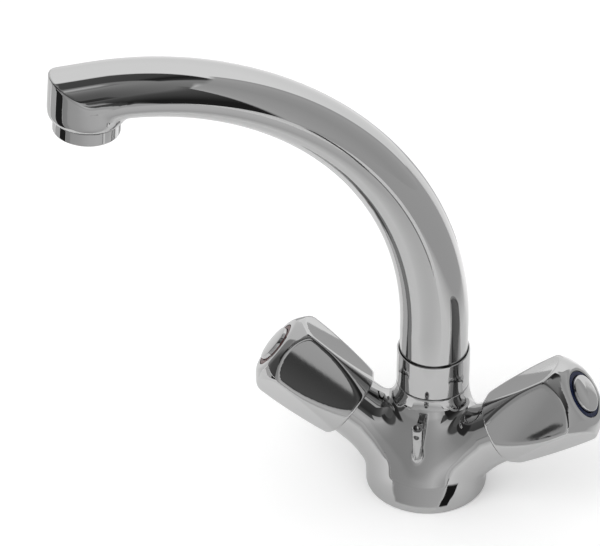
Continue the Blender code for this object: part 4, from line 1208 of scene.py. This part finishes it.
def card(name, distance, corners, stops, **tones):
    """Card bent between four (azimuth, elevation) corners."""
    glowing_sheet("card_" + name, lambda u, v: aimed(*across(corners, u, v), distance), stops, **tones)


def flat_card(name, distance, corners, stops, **tones):
    """The same, but flat between its corners."""
    points = [aimed(azimuth, elevation, distance) for azimuth, elevation in corners]
    glowing_sheet("card_" + name, lambda u, v: across(points, u, v), stops, **tones)


def board(name, height, corners, stops, **tones):
    """Board between four (azimuth, distance) corners, whose foot is its near edge."""
    points = [level_point(azimuth, far, height) for azimuth, far in corners]
    glowing_sheet("board_" + name, lambda u, v: across(points, u, v), stops, **tones)


def fence(name, radius, corners, stops, **tones):
    """Upright strip between four (azimuth, height) corners."""
    def shape(u, v):
        azimuth, height = across(corners, u, v)
        return level_point(azimuth, radius, height)
    glowing_sheet("fence_" + name, shape, stops, **tones)


# %% Cards above and in front
# Each card is a painted reflection: it glows for the chrome alone and lights nothing.
card("ceiling", 1.98, [(-180, 46), (-180, 90), (180, 90), (180, 46)],
     [(0, 0.3), (0.1, 0.3), (0.33, 0.12), (0.6, 0.12), (0.67, 0.18), (0.72, 0.22), (0.8, 0.27),
      (0.9, 0.34), (1, 0.3)], fades=(0, 0.03, 0, 0))
# A painted reflection of a ceiling lamp: a small bright card, not a light.
card("ceiling_lamp_reflection", 1.86, [(150, 75), (150, 84), (188, 84), (188, 75)],
     [(0, 0.2), (0.4, 0.3), (0.7, 0.6), (1, 0.8)], fades=(0.3, 0.3, 0.2, 0.3))
card("upper_band", 1.97, [(-70, 45), (-70, 61), (50, 61), (50, 45)],
     [(0, 0.1), (0.5, 0.1), (0.8, 0.04), (1, 0.04)], fades=(0.05, 0.2, 0.05, 0.1))
card("front_wall", 1.95, [(-64, -15), (-64, 50), (48, 50), (48, -15)],
     [(0, 0.37), (0.4, 0.42), (0.58, 0.52), (0.68, 0.6), (0.78, 0.72), (0.84, 0.66), (0.9, 0.55),
      (1, 0.5)], rise=[(0, 1), (0.4, 1), (0.5, 0.85), (1, 0.9)], fades=(0.02, 0.1, 0.02, 0.05))
card("dark_spot", 1.50, [(-37.2, -3.9), (-37.2, -3.1), (-35.7, -2.1), (-35.7, -2.9)], 0.04,
     fades=0.1)

# %% Cards on the left and behind
card("left_flag", 1.92, [(-118, -15), (-118, 48), (-60, 48), (-60, -15)],
     [(0, 0.3), (0.4, 0.28), (0.55, 0.1), (1, 0.07)], fades=(0.05, 0.1, 0.03, 0.05))
card("left_upper_flag", 1.91, [(-84, 22), (-84, 64), (-40, 64), (-42, 28)], 0.03,
     fades=(0.05, 0.1, 0.1, 0.05))
card("left_wall", 1.96, [(-165, -15), (-165, 60), (-112, 60), (-112, -15)], [(0, 0.8), (1, 0.76)],
     fades=0.05)
card("back_wall", 1.93, [(134, -25), (148, 54), (208, 57), (208, -25)], [(0, 1.05), (1, 1)],
     rise=[(0, 0.95), (0.4, 0.95), (0.65, 1.05), (1, 1.08)], fades=(0.02, 0.05, 0.03, 0.03))
card("back_flag", 1.88, [(144, 49), (138, 68), (207, 77), (207, 57)],
     [(0, 0.06), (0.15, 0.04), (0.26, 0.02), (0.4, 0.08), (1, 0.1)], fades=(0.1, 0.05, 0.05, 0.1))

# %% Cards on the right
card("black_flag", 1.90, [(45, -5), (37, 50), (105, 64), (80, -14)], 0.02,
     rise=[(0, 1), (0.45, 1), (0.6, 2), (0.75, 3.5), (0.9, 5), (1, 9)], fades=(0.02, 0.03, 0.02, 0.05))
card("flag_wing", 1.89, [(41.4, 7), (25.1, 28), (46, 28), (46, 7)],
     [(0, 0.05), (0.3, 0.11), (1, 0.04)], fades=(0.01, 0.2, 0.1, 0.1))
flat_card("soft_box_reflection", 1.80, [(47.5, -30), (95, 59), (162, 47), (130, -32)],
          [(0, 0.58), (0.15, 0.52), (0.45, 0.46), (0.7, 0.5), (0.88, 0.56), (0.94, 0.48), (1, 0.42)])
# A painted glint: a card brighter than white, just in front of the soft box's reflection.
flat_card("painted_glint_corner", 1.78, [(56.5, -12), (94, 58), (138, 60), (110, -12)], 1.35,
          fades=(0.02, 1, 1, 0.03))

# %% Boards on the floor
# The boards paint the floor as the chrome mirrors it. Their glow is painted light and shade on the
# floor: brighter in a band near the foot, greyer to the front, and black where the nozzle shows a dark
# reflection.
board("front", 1.0 * MM, [(-42.5, 0.098), (-48, 3), (48, 3), (39.8, 0.094)],
      [(0, 0.35), (0.12, 0.38), (0.3, 0.4), (0.5, 0.48), (0.8, 0.53), (1, 0.55)],
      rise=[(0, 1.05), (0.08, 1.3), (0.25, 1.3), (0.45, 1), (1, 1)])
board("nozzle_grey", 1.1 * MM, [(-95, 0.36), (-95, 1.5), (-78, 1.2), (-74, 0.28)], 0.57)
board("nozzle_right", 1.2 * MM, [(-57, 0.28), (-57, 1.3), (-46, 1.3), (-44, 0.28)],
      [(0, 0.34), (1, 0.38)])
board("nozzle_black", 1.3 * MM, [(-74, 0.28), (-78, 1.3), (-57, 1.3), (-57, 0.28)], 0.022)
board("right", 1.4 * MM, [(50, 0.13), (57, 3), (143, 3), (134, 0.13)], [(0, 0.5), (1, 0.52)])
board("back", 1.5 * MM, [(136, 0.10), (144, 3), (208, 3), (200, 0.09)], 1,
      rise=[(0, 1.3), (0.1, 1.0), (1, 0.95)])
board("left", 1.6 * MM, [(205, 0.09), (205, 3), (262, 3), (262, 0.12)], [(0, 0.85), (1, 0.76)])
board("back_grey", 1.7 * MM, [(172, 0.19), (173, 0.43), (214, 0.43), (222, 0.15)],
      [(0, 0.5), (1, 0.47)])
# Three dark strips paint the tap's shadow on the floor, running out from the foot to the front right,
# as the chrome mirrors it.
board("painted_shadow_near", 1.8 * MM, [(38.6, 0.13), (43, 0.235), (46.2, 0.235), (41.8, 0.13)], 0.13,
      fades=(0.25, 0.1, 0.25, 0))
board("painted_shadow_middle", 1.9 * MM, [(43, 0.235), (48.8, 0.345), (52.2, 0.345), (46.2, 0.235)], 0.08,
      fades=(0.25, 0, 0.25, 0))
board("painted_shadow_far", 2.0 * MM, [(48.8, 0.345), (55.2, 0.72), (58.4, 0.72), (52.2, 0.345)], 0.045,
      fades=(0.25, 0, 0.25, 0.3))

# %% Strips round the foot
# The grey fence paints the light on the floor just beside the foot, as the foot mirrors it.
fence("front", 27.5 * MM, [(-22, 0), (-29, 13 * MM), (38, 13 * MM), (27, 0)],
      [(0, 0.36), (0.4, 0.46), (0.7, 0.53), (1, 0.58)], fades=(0.05, 0.08, 0.05, 0.1))
# The dark fence paints the start of the tap's shadow beside the foot, at the front right.
fence("dark", 27.3 * MM,
      [(26.5, 0.3 * MM), (37, 12.6 * MM), (49.2, 10.8 * MM), (36, 0.3 * MM)], 0.014, fades=0.05)
